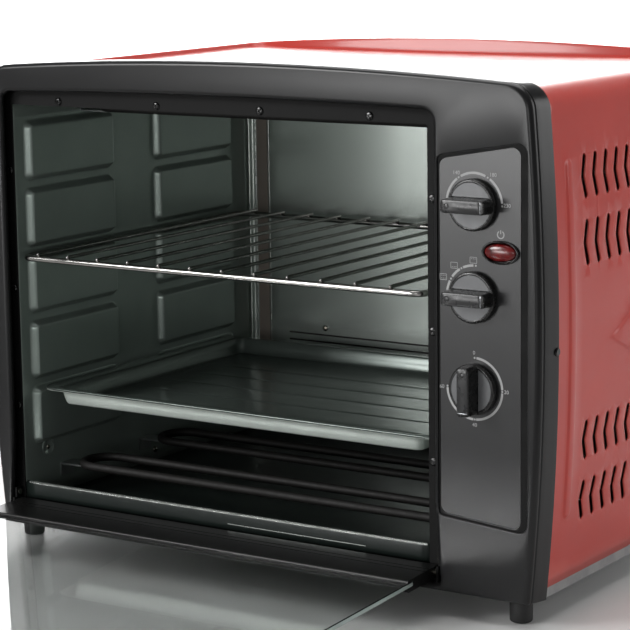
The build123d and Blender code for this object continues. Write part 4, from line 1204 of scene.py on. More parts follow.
@dataclass
class Cavity:
    """The enamelled chamber: pressed side and rear walls, floor pan with its rolled sill, elements."""

    left: float = -229.0
    right: float = 155.0
    floor: float = 30.0
    top: float = 356.0
    front: float = 12.6
    back: float = 342.0
    sheet: float = 1.0
    pan_sheet: float = 0.8
    flange: float = 11.0
    bend: float = 1.6
    guide_first: float = 121.0
    guide_pitch: float = 54.3
    guide_channel: float = 12.6
    pad_proud: float = 6.0
    pad_draft: float = 28.0
    pad_run: float = 4.0
    pad_corner: float = 6.0
    pad_rows: int = 5
    pad_spans: tuple[tuple[float, float], ...] = ((24.0, 137.0), (194.0, 307.0))
    slope_middle: float = 3.0
    rear_margin: float = 18.0
    rear_press: float = 4.0
    corner_bend: float = 4.0
    sill_bottom: float = 34.0
    sill_top: float = 48.0
    sill_roll: float = 2.2
    line_span: tuple[float, float] = (-27.0, 99.0)
    line_heights: tuple[float, float] = (38.8, 39.4)
    plug: tuple[float, float] = (41.9, 70.7)
    side_mark: tuple[float, float] = (186.5, 39.2)
    rear_mark: tuple[float, float] = (-148.0, 130.0)
    rear_lines: tuple[float, float] = (117.0, 123.5)

    def pad_rectangles(self) -> list[tuple[float, float, float, float]]:
        """Middle and half size of each pad on a side wall, as (setback, z, half length, half height)."""
        slope = self.pad_proud * math.tan(math.radians(self.pad_draft))
        height = self.guide_pitch - self.guide_channel + 2.0 * slope
        lowest = self.guide_first + slope - height / 2.0
        return [
            ((start + end) / 2.0, lowest + self.guide_pitch * row, (end - start) / 2.0, height / 2.0)
            for start, end in self.pad_spans
            for row in range(self.pad_rows)
        ]

    def side_wall(self, x: float, inward: float) -> Skin:
        """A side wall: its front edge bends out to a flange, and each pad is a step round its rectangle.

        Args:
            x: Place of the flat wall.
            inward: 1 or -1, the way to the chamber's inside along X.

        Returns:
            The open sheet.
        """
        pads = self.pad_rectangles()
        inner = self.slope_middle
        edges_y = [edge for start, end in self.pad_spans for edge in (start + inner, end - inner)]
        edges_z = sorted({round(pad[1] + side * (pad[3] - inner), 2) for pad in pads for side in (-1.0, 1.0)})
        setback = spaced_lines(self.front + self.bend, self.back, 12.0, edges_y)
        z = spaced_lines(self.floor, self.top, 12.0, edges_z)
        grid_y, grid_z = np.meshgrid(setback, z, indexing="ij")
        proud = np.zeros_like(grid_y)
        for middle, height, half_length, half_height in pads:
            gap = rounded_distance(
                grid_y - middle, grid_z - height, half_length, half_height, self.pad_corner
            )
            proud = np.maximum(proud, self.pad_proud * soft_ramp(-gap / self.pad_run))
        wall = np.stack([x + inward * proud, FRONT + grid_y, grid_z], -1)
        turn = np.radians(np.linspace(90.0, 0.0, 6))[:-1]
        lip_x = np.concatenate([[x - inward * self.flange], x - inward * self.bend * (1.0 - np.cos(turn))])
        lip_y = np.concatenate([[self.front], self.front + self.bend * (1.0 - np.sin(turn))])
        lip = np.stack(
            [
                np.repeat(lip_x[:, None], len(z), axis=1),
                np.repeat(FRONT + lip_y[:, None], len(z), axis=1),
                np.repeat(z[None, :], len(lip_x), axis=0),
            ],
            -1,
        )
        return grid_skin(np.concatenate([lip, wall]))

    def rear_wall(self) -> Skin:
        """The rear wall: a step towards the front inside its margin, and round bends at both side edges."""
        inner = self.rear_margin + self.slope_middle
        x = spaced_lines(self.left, self.right, 14.0, [self.left + inner, self.right - inner])
        bend_x = np.linspace(0.0, self.corner_bend, 6)[1:-1]
        x = np.unique(np.concatenate([x, self.left + bend_x, self.right - bend_x]))
        z = spaced_lines(self.floor, self.top, 14.0, [self.floor + inner, self.top - inner])
        grid_x, grid_z = np.meshgrid(x, z, indexing="ij")
        middle_x, middle_z = (self.left + self.right) / 2.0, (self.floor + self.top) / 2.0
        half_x = (self.right - self.left) / 2.0 - self.rear_margin
        half_z = (self.top - self.floor) / 2.0 - self.rear_margin
        gap = rounded_distance(grid_x - middle_x, grid_z - middle_z, half_x, half_z, self.pad_corner)
        depth = self.rear_press * soft_ramp(-gap / self.pad_run)
        edge = np.minimum(grid_x - self.left, self.right - grid_x)
        inner_edge = np.clip(self.corner_bend - edge, 0.0, self.corner_bend)
        depth += self.corner_bend - np.sqrt(self.corner_bend**2 - inner_edge**2 + 1e-9)
        return grid_skin(np.stack([grid_x, FRONT + self.back - depth, grid_z], -1))

    def sill_profile(self) -> Array:
        """The floor pan's section from the rear to the sill: flat, round bend, over a roll, down."""
        roll_middle = (self.front + self.sill_roll, self.sill_top - self.sill_roll)
        heel = arc((24.0, self.floor + 7.0), 7.0, 270.0, 180.0, 6)
        roll = arc(roll_middle, self.sill_roll, 0.0, 180.0, 10)
        skirt = np.array([[self.front, 42.0], [self.front + 0.2, 38.0], [self.front + 0.8, self.sill_bottom]])
        flat = np.array([[setback, self.floor] for setback in (self.back, 260.0, 180.0, 90.0)])
        return np.vstack([flat, heel, roll, skirt])

    def floor_pan(self) -> Skin:
        """The floor pan: its section carried along X."""
        grid = carried(self.sill_profile(), np.linspace(self.left, self.right, 40))
        return grid_skin(grid.swapaxes(0, 1))

    def sill_painted_highlight_band(self) -> Skin:
        """A painted highlight on top of the roll: a thin band of bright steel following the roll's arc, a
        hair above it.
        """
        middle = (self.front + self.sill_roll, self.sill_top - self.sill_roll)
        outer = arc(middle, self.sill_roll + 0.12, 35.0, 150.0, 12)
        inner = arc(middle, self.sill_roll + 0.02, 150.0, 35.0, 12)
        x = np.linspace(self.left + 3.0, self.right - 3.0, 30)
        return solid_loft(carried(np.vstack([outer, inner]), x))

    def second_line(self) -> Skin:
        """The short bright line on the sill's front, under its right half."""
        front, rear = self.front - 0.02, self.front + 0.3
        low, high = self.line_heights
        section = np.array([[front, high], [front, low], [rear, low], [rear, high]])
        return solid_loft(carried(section, np.linspace(*self.line_span, 12)))

    def wall_marks(self) -> None:
        """Sets the small things on the chamber's walls: a plug, screw heads, a strip, bright beads that paint
        highlights along the folds, and lines.
        """
        plug = revolved(np.array([(0.0, 0.2), (5.8, 0.2), (6.4, 0.7), (7.2, 0.6), (7.8, 0.0)]), 40)
        head = revolved(np.array([(0.0, 1.5), (1.2, 1.4), (2.2, 1.0), (2.7, 0.4), (2.8, 0.0)]), 32)
        small = Skin(head.points * 0.7, head.faces)
        at_plug, at_side = (
            Matrix.Translation((self.left, FRONT + setback, height)) @ Matrix.Rotation(math.pi / 2.0, 4, "Y")
            for setback, height in (self.plug, self.side_mark)
        )
        rear = self.back - self.rear_press
        for name, skin, place, finish in (
            ("left_wall_plug", plug, at_plug, CAVITY_ENAMEL),
            ("left_wall_plug_screw", small, at_plug, SCREW_ZINC),
            ("left_wall_screw", head, at_side, SCREW_ZINC),
            ("rear_wall_screw", head, face_plane(self.rear_mark[0], rear, self.rear_mark[1]), SCREW_ZINC),
        ):
            make_piece(name, skin.turned(place), "chassis", finish, sharp=40.0)
        start, edge = self.left + 6.0, self.left + self.rear_margin
        low, high = self.floor + self.rear_margin + 8.0, self.top - self.rear_margin - 8.0
        flat = np.array([(start, low), (edge - 0.4, low), (edge - 0.4, high), (start, high)])
        strip = solid_loft([upright(flat, self.back - rise) for rise in (0.0, 0.06)])
        make_piece("rear_wall_side_strip", strip, "chassis", STRIP_BROWN, sharp=30.0)
        # Thin bright steel beads along the rear wall's folds: painted highlights where the folds catch the
        # light.
        folds = ((self.left + 4.8, self.back + 0.2), (edge + self.pad_run + 0.2, rear + 0.2))
        for place, (x, setback) in enumerate(folds):
            path = np.array([(x, FRONT + setback, z) for z in np.linspace(low, high, 12)])
            fold = tube(path, 0.55, (0.0, 1.0, 0.0))
            make_piece(f"rear_wall_fold_{place + 1}", fold, "chassis", PAINTED_HIGHLIGHT_STEEL, sharp=60.0)
        flat = np.array([(-150.0, -0.7), (150.0, -0.7), (150.0, 0.7), (-150.0, 0.7)])
        line = solid_loft([level(flat, rise) for rise in (0.0, 0.25)])
        for place, height in enumerate(self.rear_lines):
            skin = line.turned(face_plane((self.left + self.right) / 2.0, rear, height))
            make_piece(f"rear_wall_line_{place + 1}", skin, "chassis", ELEMENT_SHEATH, sharp=30.0)

    def element(self, node: str) -> Skin:
        """A hairpin heating element: two straight runs joined by a half circle, as a round tube.

        Args:
            node: The frame node that gives its place.

        Returns:
            The tube.
        """
        low, high = box_of(node)
        radius = (high[2] - low[2]) / 2.0
        bend = (high[1] - low[1]) / 2.0 - radius
        middle, height = (low + high)[1:] / 2.0
        turn_x = low[0] + radius + bend
        run = np.linspace(high[0], turn_x, 24)
        round_end = arc((turn_x, middle), bend, 270.0, 90.0, 16)[1:-1]
        flat = np.vstack(
            [
                np.stack([run, np.full(24, middle - bend)], -1),
                round_end,
                np.stack([run[::-1], np.full(24, middle + bend)], -1),
            ]
        )
        return tube(level(flat, height), radius, sides=16, dome=0.6)

    def build(self) -> None:
        """Makes the chamber's walls, the sill and the elements, and dresses the rest."""
        left, right = self.side_wall(self.left, 1.0), self.side_wall(self.right, -1.0)
        # In this table the rear sheet takes a lighter copy of the cavity enamel (painted light) and the floor
        # pan a darker one (painted shade).
        for name, skin, finish, node, wall, outward in (
            ("left_guides", left, CAVITY_ENAMEL, "left_wall", self.sheet, (1.0, 0.0, 0.0)),
            ("right_guides", right, CAVITY_ENAMEL, "right_wall", self.sheet, (-1.0, 0.0, 0.0)),
            ("rear_sheet", self.rear_wall(), REAR_ENAMEL_PAINTED_LIGHT, "rear_wall", self.sheet, (0.0, -1.0, 0.0)),
            ("floor_pan", self.floor_pan(), FLOOR_ENAMEL_PAINTED_SHADE, "floor", self.pan_sheet, UP),
        ):
            make_piece(
                f"cavity_{name}", skin, "chassis", finish, [f"cavity_{node}"],
                sharp=60.0, wall=wall, outward=outward,
            )
        # A band of bright steel on the sill's roll: painted highlight.
        make_piece("sill_painted_highlight", self.sill_painted_highlight_band(), "chassis", PAINTED_HIGHLIGHT_STEEL)
        make_piece("sill_second_line", self.second_line(), "chassis", SILL_LINE)
        self.wall_marks()
        for node in (f"{side}_heater_{end}" for side in ("lower", "upper") for end in ("front", "rear")):
            make_piece(f"{node}_tube", self.element(node), "chassis", ELEMENT_SHEATH, [node])
        dress(["cavity_ceiling"], CAVITY_ENAMEL)
        dress(["heater_bushes"], CERAMIC)


@dataclass
class Rack:
    """The plated wire rack: a closed bar with rounded corners and straight wires welded on top."""

    front: float = 9.6
    depth: float = 308.0
    bar: float = 2.5
    wire: float = 1.5
    weld: float = 0.4
    wires: int = 12
    pitch: float = 30.0
    wire_offset: float = -4.5
    corner: float = 9.0

    def build(self) -> None:
        """Makes the rack from the frame's own box and a dozen wires."""
        low, high = box_of("wire_rack")
        middle_x = (low[0] + high[0]) / 2.0
        front = FRONT + self.front
        bar_z = low[2] + self.bar
        half_x = (high[0] - low[0]) / 2.0 - self.bar
        loop = rounded_loop(half_x, self.depth / 2.0 - self.bar, self.corner, 10)
        path = level(loop + (middle_x, front + self.depth / 2.0), bar_z)
        skin = tube(path, self.bar, sides=16, closed=True)
        wire_z = bar_z + self.bar + self.wire - self.weld
        ends = np.linspace(front + self.wire, front + self.depth - self.wire, 12)
        for place in range(self.wires):
            x = middle_x + self.wire_offset + (place - (self.wires - 1) / 2.0) * self.pitch
            run = level(np.column_stack([np.full(12, x), ends]), wire_z)
            skin = skin.joined(tube(run, self.wire, dome=self.wire))
        make_piece("rack_bars_and_wires", skin, "rack", CHROME, ["wire_rack"], sharp=50.0)


@dataclass
class Tray:
    """The baking tray: a turned-down edge, a flat rim, a drafted bowl and a floor with pressed grooves."""

    front: float = 30.0
    depth: float = 264.0
    bowl: float = 13.0
    side_rim: float = 16.0
    end_rim: float = 4.0
    corner: float = 14.0
    bowl_corner: float = 8.0
    draft: float = 18.0
    sheet: float = 0.9
    edge: float = 1.6
    grooves: tuple[float, ...] = (84.5, 121.0, 157.5, 194.0, 230.5)
    groove_width: float = 4.0
    groove_half: float = 152.0
    groove_depth: float = 0.6

    def loops(self, top: float, half_x: float) -> list[Array]:
        """The tray's rings from the turned-down edge to the foot of the bowl.

        Args:
            top: Height of the rim's upper face.
            half_x: Half width over the rim.

        Returns:
            Rings of points about the tray's middle.
        """
        half_y = self.depth / 2.0
        run = self.bowl * math.tan(math.radians(self.draft))
        wall_x, wall_y = half_x - self.side_rim, half_y - self.end_rim
        rings = []
        for share_x, share_y, height, corner in (
            (half_x, half_y, -self.edge, self.corner),
            (half_x, half_y, -0.5, self.corner),
            (half_x - 0.5, half_y - 0.5, 0.0, self.corner - 0.5),
            (wall_x + 1.4, wall_y + 0.8, 0.0, self.bowl_corner + 1.0),
            (wall_x + 0.3, wall_y + 0.1, -0.2, self.bowl_corner),
            (wall_x - 0.7, wall_y - 0.7, -1.2, self.bowl_corner - 0.7),
            (wall_x - run * 0.5, wall_y - run * 0.5, -self.bowl * 0.5, self.bowl_corner - 1.6),
            (wall_x - run + 0.7, wall_y - run + 0.7, 1.6 - self.bowl, self.bowl_corner - 2.4),
            (wall_x - run - 0.3, wall_y - run - 0.3, 0.4 - self.bowl, self.bowl_corner - 3.0),
            (wall_x - run - 2.0, wall_y - run - 2.0, -self.bowl, self.bowl_corner - 4.2),
        ):
            rings.append(level(rounded_loop(share_x, share_y, corner, 8), top + height))
        return rings

    def build(self) -> None:
        """Makes the inner face with its grooves, in a darker copy of the tray's enamel for painted shade, and
        the paler outer face in the enamel's own grey, a sheet's thickness apart.
        """
        low, high = box_of("baking_tray")
        centre_y = self.front + self.depth / 2.0
        rings = self.loops(high[2], (high[0] - low[0]) / 2.0)
        foot = rings[-1][:, :2]
        grooves = np.array(self.grooves) - centre_y
        across, along = np.meshgrid(
            np.linspace(-154.0, 154.0, 17), spaced_lines(-118.0, 118.0, 14.0, grooves, 2.4, 0.8)
        )
        loose = np.stack([across.ravel(), along.ravel()], -1)
        flat, triangles = fill(foot, loose=loose[inside(loose, foot * 0.985)])
        gap = np.min(np.abs(flat[:, 1:] - grooves[None, :]), axis=1)
        within = smooth_step((self.groove_half - np.abs(flat[:, 0])) / 4.0)
        sunk = smooth_step(1.0 - gap / (self.groove_width / 2.0)) * within
        bottom = Skin(level(flat, rings[-1][0, 2] - self.groove_depth * sunk), triangles.tolist())
        inner = loft(rings).joined(bottom)
        shift = ((low[0] + high[0]) / 2.0, FRONT + centre_y, 0.0)
        under = inner.moved(0.0, 0.0, -(self.sheet / 2.0 + 0.01))
        for name, skin, finish, nodes in (
            ("tray_inner_face", inner, TRAY_INSIDE_PAINTED_SHADE, ["baking_tray"]),
            ("tray_outer_face", under, TRAY_OUTSIDE, []),
        ):
            make_piece(
                name, skin.moved(*shift), "tray", finish, nodes,
                sharp=50.0, wall=self.sheet / 2.0, outward=UP,
            )


@dataclass
class Door:
    """The glass door, folded down: a pane between two dark rails, on ears with pins."""

    thickness: float = 4.0
    bevel: float = 0.7
    corner: float = 1.5

    def pane(self) -> Skin:
        """The glass pane: a flat box with edges ground to a small bevel, lofted through its thickness."""
        points = np.array([tuple(vertex.co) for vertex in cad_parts["door_glass"].data.vertices]) / MM
        low, high = points.min(axis=0), points.max(axis=0)
        rear = points[points[:, 1] > high[1] - 1.0].mean(axis=0)
        front = points[points[:, 1] < low[1] + 1.0].mean(axis=0)
        reach = (rear - front)[1:]
        length = float(np.linalg.norm(reach))
        along = np.array([0.0, *reach]) / length
        axes = np.array([(1.0, 0.0, 0.0), along, np.cross((1.0, 0.0, 0.0), along)])
        centre = np.array([(low[0] + high[0]) / 2.0, *((rear + front) / 2.0)[1:]])
        half_x, half_y, half = (high[0] - low[0]) / 2.0, length / 2.0, self.thickness / 2.0
        rings = []
        for height, cut in (
            (-half, self.bevel), (self.bevel - half, 0.0), (half - self.bevel, 0.0), (half, self.bevel),
        ):
            loop = rounded_loop(half_x - cut, half_y - cut, self.corner, 4)
            rings.append(centre + level(loop, height) @ axes)
        return solid_loft(rings)

    def ground_edge(self) -> Skin:
        """The pale ground edge: a thin band that follows the pane's border just inside its surface."""
        pane = self.pane().points
        count = len(pane) // 6
        low, high = pane[count:2 * count], pane[2 * count:3 * count]
        middle = (low.mean(axis=0) + high.mean(axis=0)) / 2.0
        rings = []
        for loop, inset in ((low, -0.03), (high, -0.03), (high, 0.4), (low, 0.4)):
            away = loop - loop.mean(axis=0)
            reach = np.linalg.norm(away, axis=1, keepdims=True)
            rings.append(middle + (loop - middle) - away / reach * inset)
        return grid_skin(np.stack(rings), close_first=True, close_second=True)

    def build(self) -> None:
        """Makes the pane and dresses rails, ears, pins and rivets."""
        for name, skin, finish, nodes in (
            ("door_glass_pane", self.pane(), DOOR_GLASS, ["door_glass"]),
            ("door_glass_ground_edge", self.ground_edge(), GLASS_EDGE, []),
        ):
            make_piece(name, skin, "door", finish, nodes, sharp=30.0)
        dress(["door_lower_rail", "door_upper_rail"], RAIL_BLACK)
        dress(["hinge_ears"], FRAME_BLACK)
        dress(["hinge_pins", "hinge_rivets"], SCREW_ZINC)


class Sign(Enum):
    """The small signs beside the function dial: a little oven with strokes for the elements that are on."""

    LOWER = "lower element on"
    UPPER = "upper element on"
    BOTH = "both elements on"


@dataclass(frozen=True)
class Dial:
    """The print round one knob, in millimetres and degrees about the knob's middle."""

    name: str
    pointer: float
    arcs: tuple[tuple[float, float], ...]
    dots: tuple[float, ...]
    numbers: tuple[tuple[str, float, float], ...] = ()
    signs: tuple[tuple[Sign, float, float], ...] = ()

    @property
    def height(self) -> float:
        """Height of the knob's middle."""
        return CONTROL_HEIGHTS[self.name]


DIALS = (
    Dial(
        "temperature", 180.0, ((180.0, 128.0), (119.0, 66.0), (56.0, 5.0)), (124.0, 61.0, 0.0),
        numbers=(("140", -14.4, 21.6), ("180", 15.1, 21.5), ("230", 26.2, 0.5)),
    ),
    Dial(
        "function", 180.0, ((172.0, 153.0), (144.0, 122.0), (114.0, 92.0)), (148.6, 118.0, 87.0),
        signs=((Sign.BOTH, -25.3, 12.5), (Sign.LOWER, -16.4, 21.3), (Sign.UPPER, -0.8, 26.0)),
    ),
    Dial(
        "timer", 90.0, ((86.0, 3.0), (-3.0, -87.0), (-93.0, -177.0)), (90.0, 0.0, -90.0, 180.0),
        numbers=(("0", -0.5, 25.8), ("20", 25.6, -0.1), ("40", -0.1, -26.3), ("60", -26.8, -0.9)),
    ),
)


@dataclass
class Controls:
    """Knobs, the print on the control plate, and the pilot lamp."""

    plate_setback: float = 1.5
    knob_setback: float = 1.2
    skirt_radius: float = 18.5
    skirt_height: float = 5.2
    face_radius: float = 16.0
    face_recess: float = 1.2
    grip_length: float = 36.6
    grip_width: float = 11.4
    grip_height: float = 17.5
    grip_draft: float = 3.0
    grip_corner: float = 3.4
    inlay_width: float = 8.8
    inlay_length: float = 30.6
    inlay_rise: float = 0.25
    print_rise: float = 0.06
    ring_inner: float = 21.4
    ring_outer: float = 23.1
    dot_radius: float = 0.75
    number_size: float = 3.9
    bezel_half: tuple[float, float] = (15.0, 8.5)
    lens_half: tuple[float, float] = (12.5, 6.05)
    power_place: tuple[float, float] = (220.1, 282.3)

    def skirt(self) -> Skin:
        """The knob's skirt: a turned profile with a rounded outer edge and a recess for the segments."""
        outer, height = self.skirt_radius, self.skirt_height
        profile = np.array(
            [
                (0.0, 0.0),
                (outer - 0.5, 0.0),
                (outer, 0.5),
                (outer, height - 1.3),
                (outer - 0.2, height - 0.75),
                (outer - 0.6, height - 0.3),
                (outer - 1.1, height - 0.08),
                (outer - 1.6, height),
                (self.face_radius + 0.3, height),
                (self.face_radius + 0.05, height - 0.2),
                (self.face_radius, height - self.face_recess),
                (0.0, height - self.face_recess),
            ]
        )
        return revolved(profile, 64)

    def grip_loop(self, cut: float) -> Array:
        """The grip's rounded outline, moved inwards by a cut."""
        half_length = self.grip_length / 2.0 - cut
        return rounded_loop(half_length, self.grip_width / 2.0 - cut, self.grip_corner - min(cut, 1.4), 6)

    def grip(self) -> Skin:
        """The grip: its outline tapers with the height and ends in a small rounded edge."""
        lean = math.tan(math.radians(self.grip_draft))
        edge = 0.9
        rings = []
        for height in (self.skirt_height - self.face_recess, 9.0, 13.0, self.grip_height - edge):
            rings.append(level(self.grip_loop(height * lean), height))
        for turn in np.radians((25.0, 50.0, 75.0, 90.0)):
            rise = self.grip_height - edge + edge * math.sin(turn)
            cut = (self.grip_height - edge) * lean + edge * (1.0 - math.cos(turn))
            rings.append(level(self.grip_loop(cut), rise))
        return solid_loft(rings)

    def inlay(self) -> Skin:
        """The satin inlay on the grip: a thin plate with a sunk round mark near the pointer end."""
        half_x, half_y = self.inlay_length / 2.0, self.inlay_width / 2.0
        start = self.grip_length / 2.0 - half_x - 1.9
        top = self.grip_height + self.inlay_rise
        mark = start + half_x - 4.2
        outline = rounded_loop(half_x, half_y, 1.6, 5) + (start, 0.0)
        inner = rounded_loop(half_x - 0.2, half_y - 0.2, 1.4, 5) + (start, 0.0)
        flat, triangles = fill(inner, [arc((mark, 0.0), 2.3, 0.0, 345.0, 23)])
        low = level(outline, self.grip_height - 0.3)
        sides = loft([low, level(outline, top - 0.15), level(inner, top)])
        dimple = [(2.3, 0.0), (2.05, -0.22), (1.7, -0.3), (1.4, -0.16), (0.9, -0.06), (0.0, -0.03)]
        bowl = revolved(np.array(dimple) + (0.0, top), 24).moved(mark, 0.0, 0.0)
        return Skin(level(flat, top), triangles.tolist()).joined(sides, cap_skin(low), bowl)

    def ridge(self) -> Skin:
        """A thin ridge of bright metal across the grip behind the inlay: a painted highlight for the inlay's
        rounded end.
        """
        place = self.grip_length / 2.0 - self.inlay_length - 2.5
        loop = rounded_loop(0.3, 4.0, 0.28, 4)
        rings = [
            level(loop * size + (place, 0.0), self.grip_height + rise)
            for size, rise in ((1.0, -0.4), (1.0, 0.3), (0.7, 0.45))
        ]
        return solid_loft(rings)

    def knob(self, dial: Dial) -> None:
        """Makes one knob, turned to its pointer.

        Args:
            dial: The dial that the knob stands on.
        """
        place = face_plane(CONTROL_X, self.knob_setback, dial.height, dial.pointer)
        for part, skin, finish, slot, nodes in (
            ("body", self.skirt().joined(self.grip()), KNOB_BLACK, "knob_black", [f"{dial.name}_knob"]),
            ("inlay", self.inlay(), KNOB_INLAY, "knob_grey", []),
            ("ridge", self.ridge(), KNOB_RIDGE_PAINTED_HIGHLIGHT, "knob_grey", []),
        ):
            make_piece(
                f"{dial.name}_knob_{part}", skin.turned(place), f"{dial.name}_control", finish, nodes,
                sharp=40.0,
            )
        dress([f"{dial.name}_knob_face"], KNOB_GREY)
        dress([f"{dial.name}_shaft"], SCREW_ZINC)

    def ring_part(self, start: float, end: float) -> Skin:
        """A flat arc of print, with its rim closed down to the plate."""
        count = max(6, int(abs(end - start) / 3.0))
        outer = arc((0.0, 0.0), self.ring_outer, start, end, count)
        inner = arc((0.0, 0.0), self.ring_inner, end, start, count)
        return self.stamp(np.vstack([outer, inner]))

    def stamp(self, loop: Array) -> Skin:
        """A thin closed plate with a given outline, as a layer of print."""
        low, high = level(loop, 0.0), level(loop, self.print_rise)
        flat, triangles = fill(loop)
        top = Skin(level(flat, self.print_rise), triangles.tolist())
        return loft([low, high]).joined(top, cap_skin(low))

    def line(self, start: tuple[float, float], end: tuple[float, float], width: float) -> Skin:
        """A printed line between two points."""
        first, last = np.array(start), np.array(end)
        ahead = last - first
        aside = np.array([-ahead[1], ahead[0]]) / np.linalg.norm(ahead) * width / 2.0
        return self.stamp(np.array([first - aside, last - aside, last + aside, first + aside]))

    def digits(self, words: str, x: float, y: float) -> Skin:
        """A printed number, centred on its place, from the plain built-in letter shapes.

        Args:
            words: The number.
            x: Its middle to the right of the knob's middle.
            y: Its middle above the knob's middle.

        Returns:
            The number's closed surface.
        """
        curve = bpy.data.curves.new("number", "FONT")
        curve.body = words
        curve.size = self.number_size
        curve.align_x = "CENTER"
        curve.align_y = "CENTER"
        curve.extrude = self.print_rise / 2.0
        curve.resolution_u = 3
        holder = bpy.data.objects.new("number", curve)
        mesh = bpy.data.meshes.new_from_object(holder)
        points = np.empty(len(mesh.vertices) * 3)
        mesh.vertices.foreach_get("co", points)
        faces = [list(polygon.vertices) for polygon in mesh.polygons]
        bpy.data.objects.remove(holder)
        bpy.data.curves.remove(curve)
        bpy.data.meshes.remove(mesh)
        return Skin(points.reshape(-1, 3) + (x, y, self.print_rise / 2.0), faces)

    def sign(self, kind: Sign, x: float, y: float) -> Skin:
        """A little oven outline with a row of short strokes for each element that is on.

        Args:
            kind: Which elements are on.
            x: Its middle to the right of the knob's middle.
            y: Its middle above the knob's middle.

        Returns:
            The sign's strokes.
        """
        half, rise, width = 2.7, 2.1, 0.32
        corners = [(-half, -rise), (half, -rise), (half, rise), (-half, rise)]
        strokes = [self.line(corners[side], corners[(side + 1) % 4], width) for side in range(4)]
        rows = {Sign.LOWER: (-1.0,), Sign.UPPER: (1.0,), Sign.BOTH: (-1.0, 1.0)}[kind]
        for row in rows:
            strokes += [self.line((step - 0.45, row), (step + 0.45, row), width) for step in (-1.5, 0.0, 1.5)]
        return strokes[0].joined(*strokes[1:]).moved(x, y, 0.0)

    def print_dial(self, dial: Dial) -> None:
        """Lays one dial's print on the plate.

        Args:
            dial: The dial to print.
        """
        parts = [self.ring_part(start, end) for start, end in dial.arcs]
        middle = (self.ring_inner + self.ring_outer) / 2.0
        for turn in dial.dots:
            spot = (middle * math.cos(math.radians(turn)), middle * math.sin(math.radians(turn)))
            parts.append(self.stamp(arc(spot, self.dot_radius, 0.0, 330.0, 11)))
        parts += [self.digits(*number) for number in dial.numbers]
        parts += [self.sign(*sign) for sign in dial.signs]
        place = face_plane(CONTROL_X, self.plate_setback, dial.height)
        skin = parts[0].joined(*parts[1:]).turned(place)
        make_piece(f"{dial.name}_dial_print", skin, "chassis", PRINT_WHITE, sharp=30.0)

    def power_sign(self) -> Skin:
        """An open ring with a stroke through its gap."""
        outer = arc((0.0, 0.0), 3.0, 120.0, 420.0, 30)
        inner = arc((0.0, 0.0), 2.2, 420.0, 120.0, 30)
        return self.stamp(np.vstack([outer, inner])).joined(self.line((0.0, 0.5), (0.0, 3.2), 0.7))

    def oval(self, profile: Sequence[tuple[float, float]], half: tuple[float, float]) -> Skin:
        """A dome on an oval foot: profile of share of the half axes and height."""
        return revolved(np.array(profile, float), 56, squash=half)

    def pilot_lamp(self) -> None:
        """Makes the lamp's bezel and its domed lens, and dresses the body behind them."""
        place = face_plane(LAMP_PLACE[0], self.plate_setback, LAMP_PLACE[1])
        profile = (
            (0.84, -6.0), (0.84, 1.3), (0.87, 1.9), (0.91, 2.15), (0.95, 2.0),
            (0.985, 1.5), (1.0, 0.8), (1.0, 0.0), (0.9, -6.0),
        )
        bezel = self.oval(profile, self.bezel_half).points.reshape(len(profile), -1, 3)
        ring = grid_skin(bezel, close_first=True, close_second=True)
        turn = np.radians(np.linspace(0.0, 90.0, 12))
        dome = [(0.0, -2.0), (1.0, -2.0), (1.0, 0.8)]
        dome += [(math.cos(step), 0.8 + 2.7 * math.sin(step)) for step in turn[1:-1]] + [(0.0, 3.5)]
        for part, skin, finish, slot in (
            ("bezel", ring, BEZEL_BLACK, "bezel_black"),
            ("lens", self.oval(dome, self.lens_half), LENS_RED_PAINTED_GLOW, "lamp_red"),
        ):
            nodes = [f"lamp_{part}"]
            make_piece(f"pilot_lamp_{part}", skin.turned(place), "chassis", finish, nodes, sharp=50.0)
        dress(["lamp_body"], SWITCH_BODY)

    def build(self) -> None:
        """Makes knobs, print and lamp, and dresses the switches behind."""
        for dial in DIALS:
            self.knob(dial)
            self.print_dial(dial)
        x, height = self.power_place
        sign = self.power_sign().turned(face_plane(x, self.plate_setback, height))
        make_piece("power_sign_print", sign, "chassis", PRINT_WHITE, sharp=30.0)
        self.pilot_lamp()
        dress(["thermostat"], GALVANISED)
        dress(["function_switch", "timer"], SWITCH_BODY)


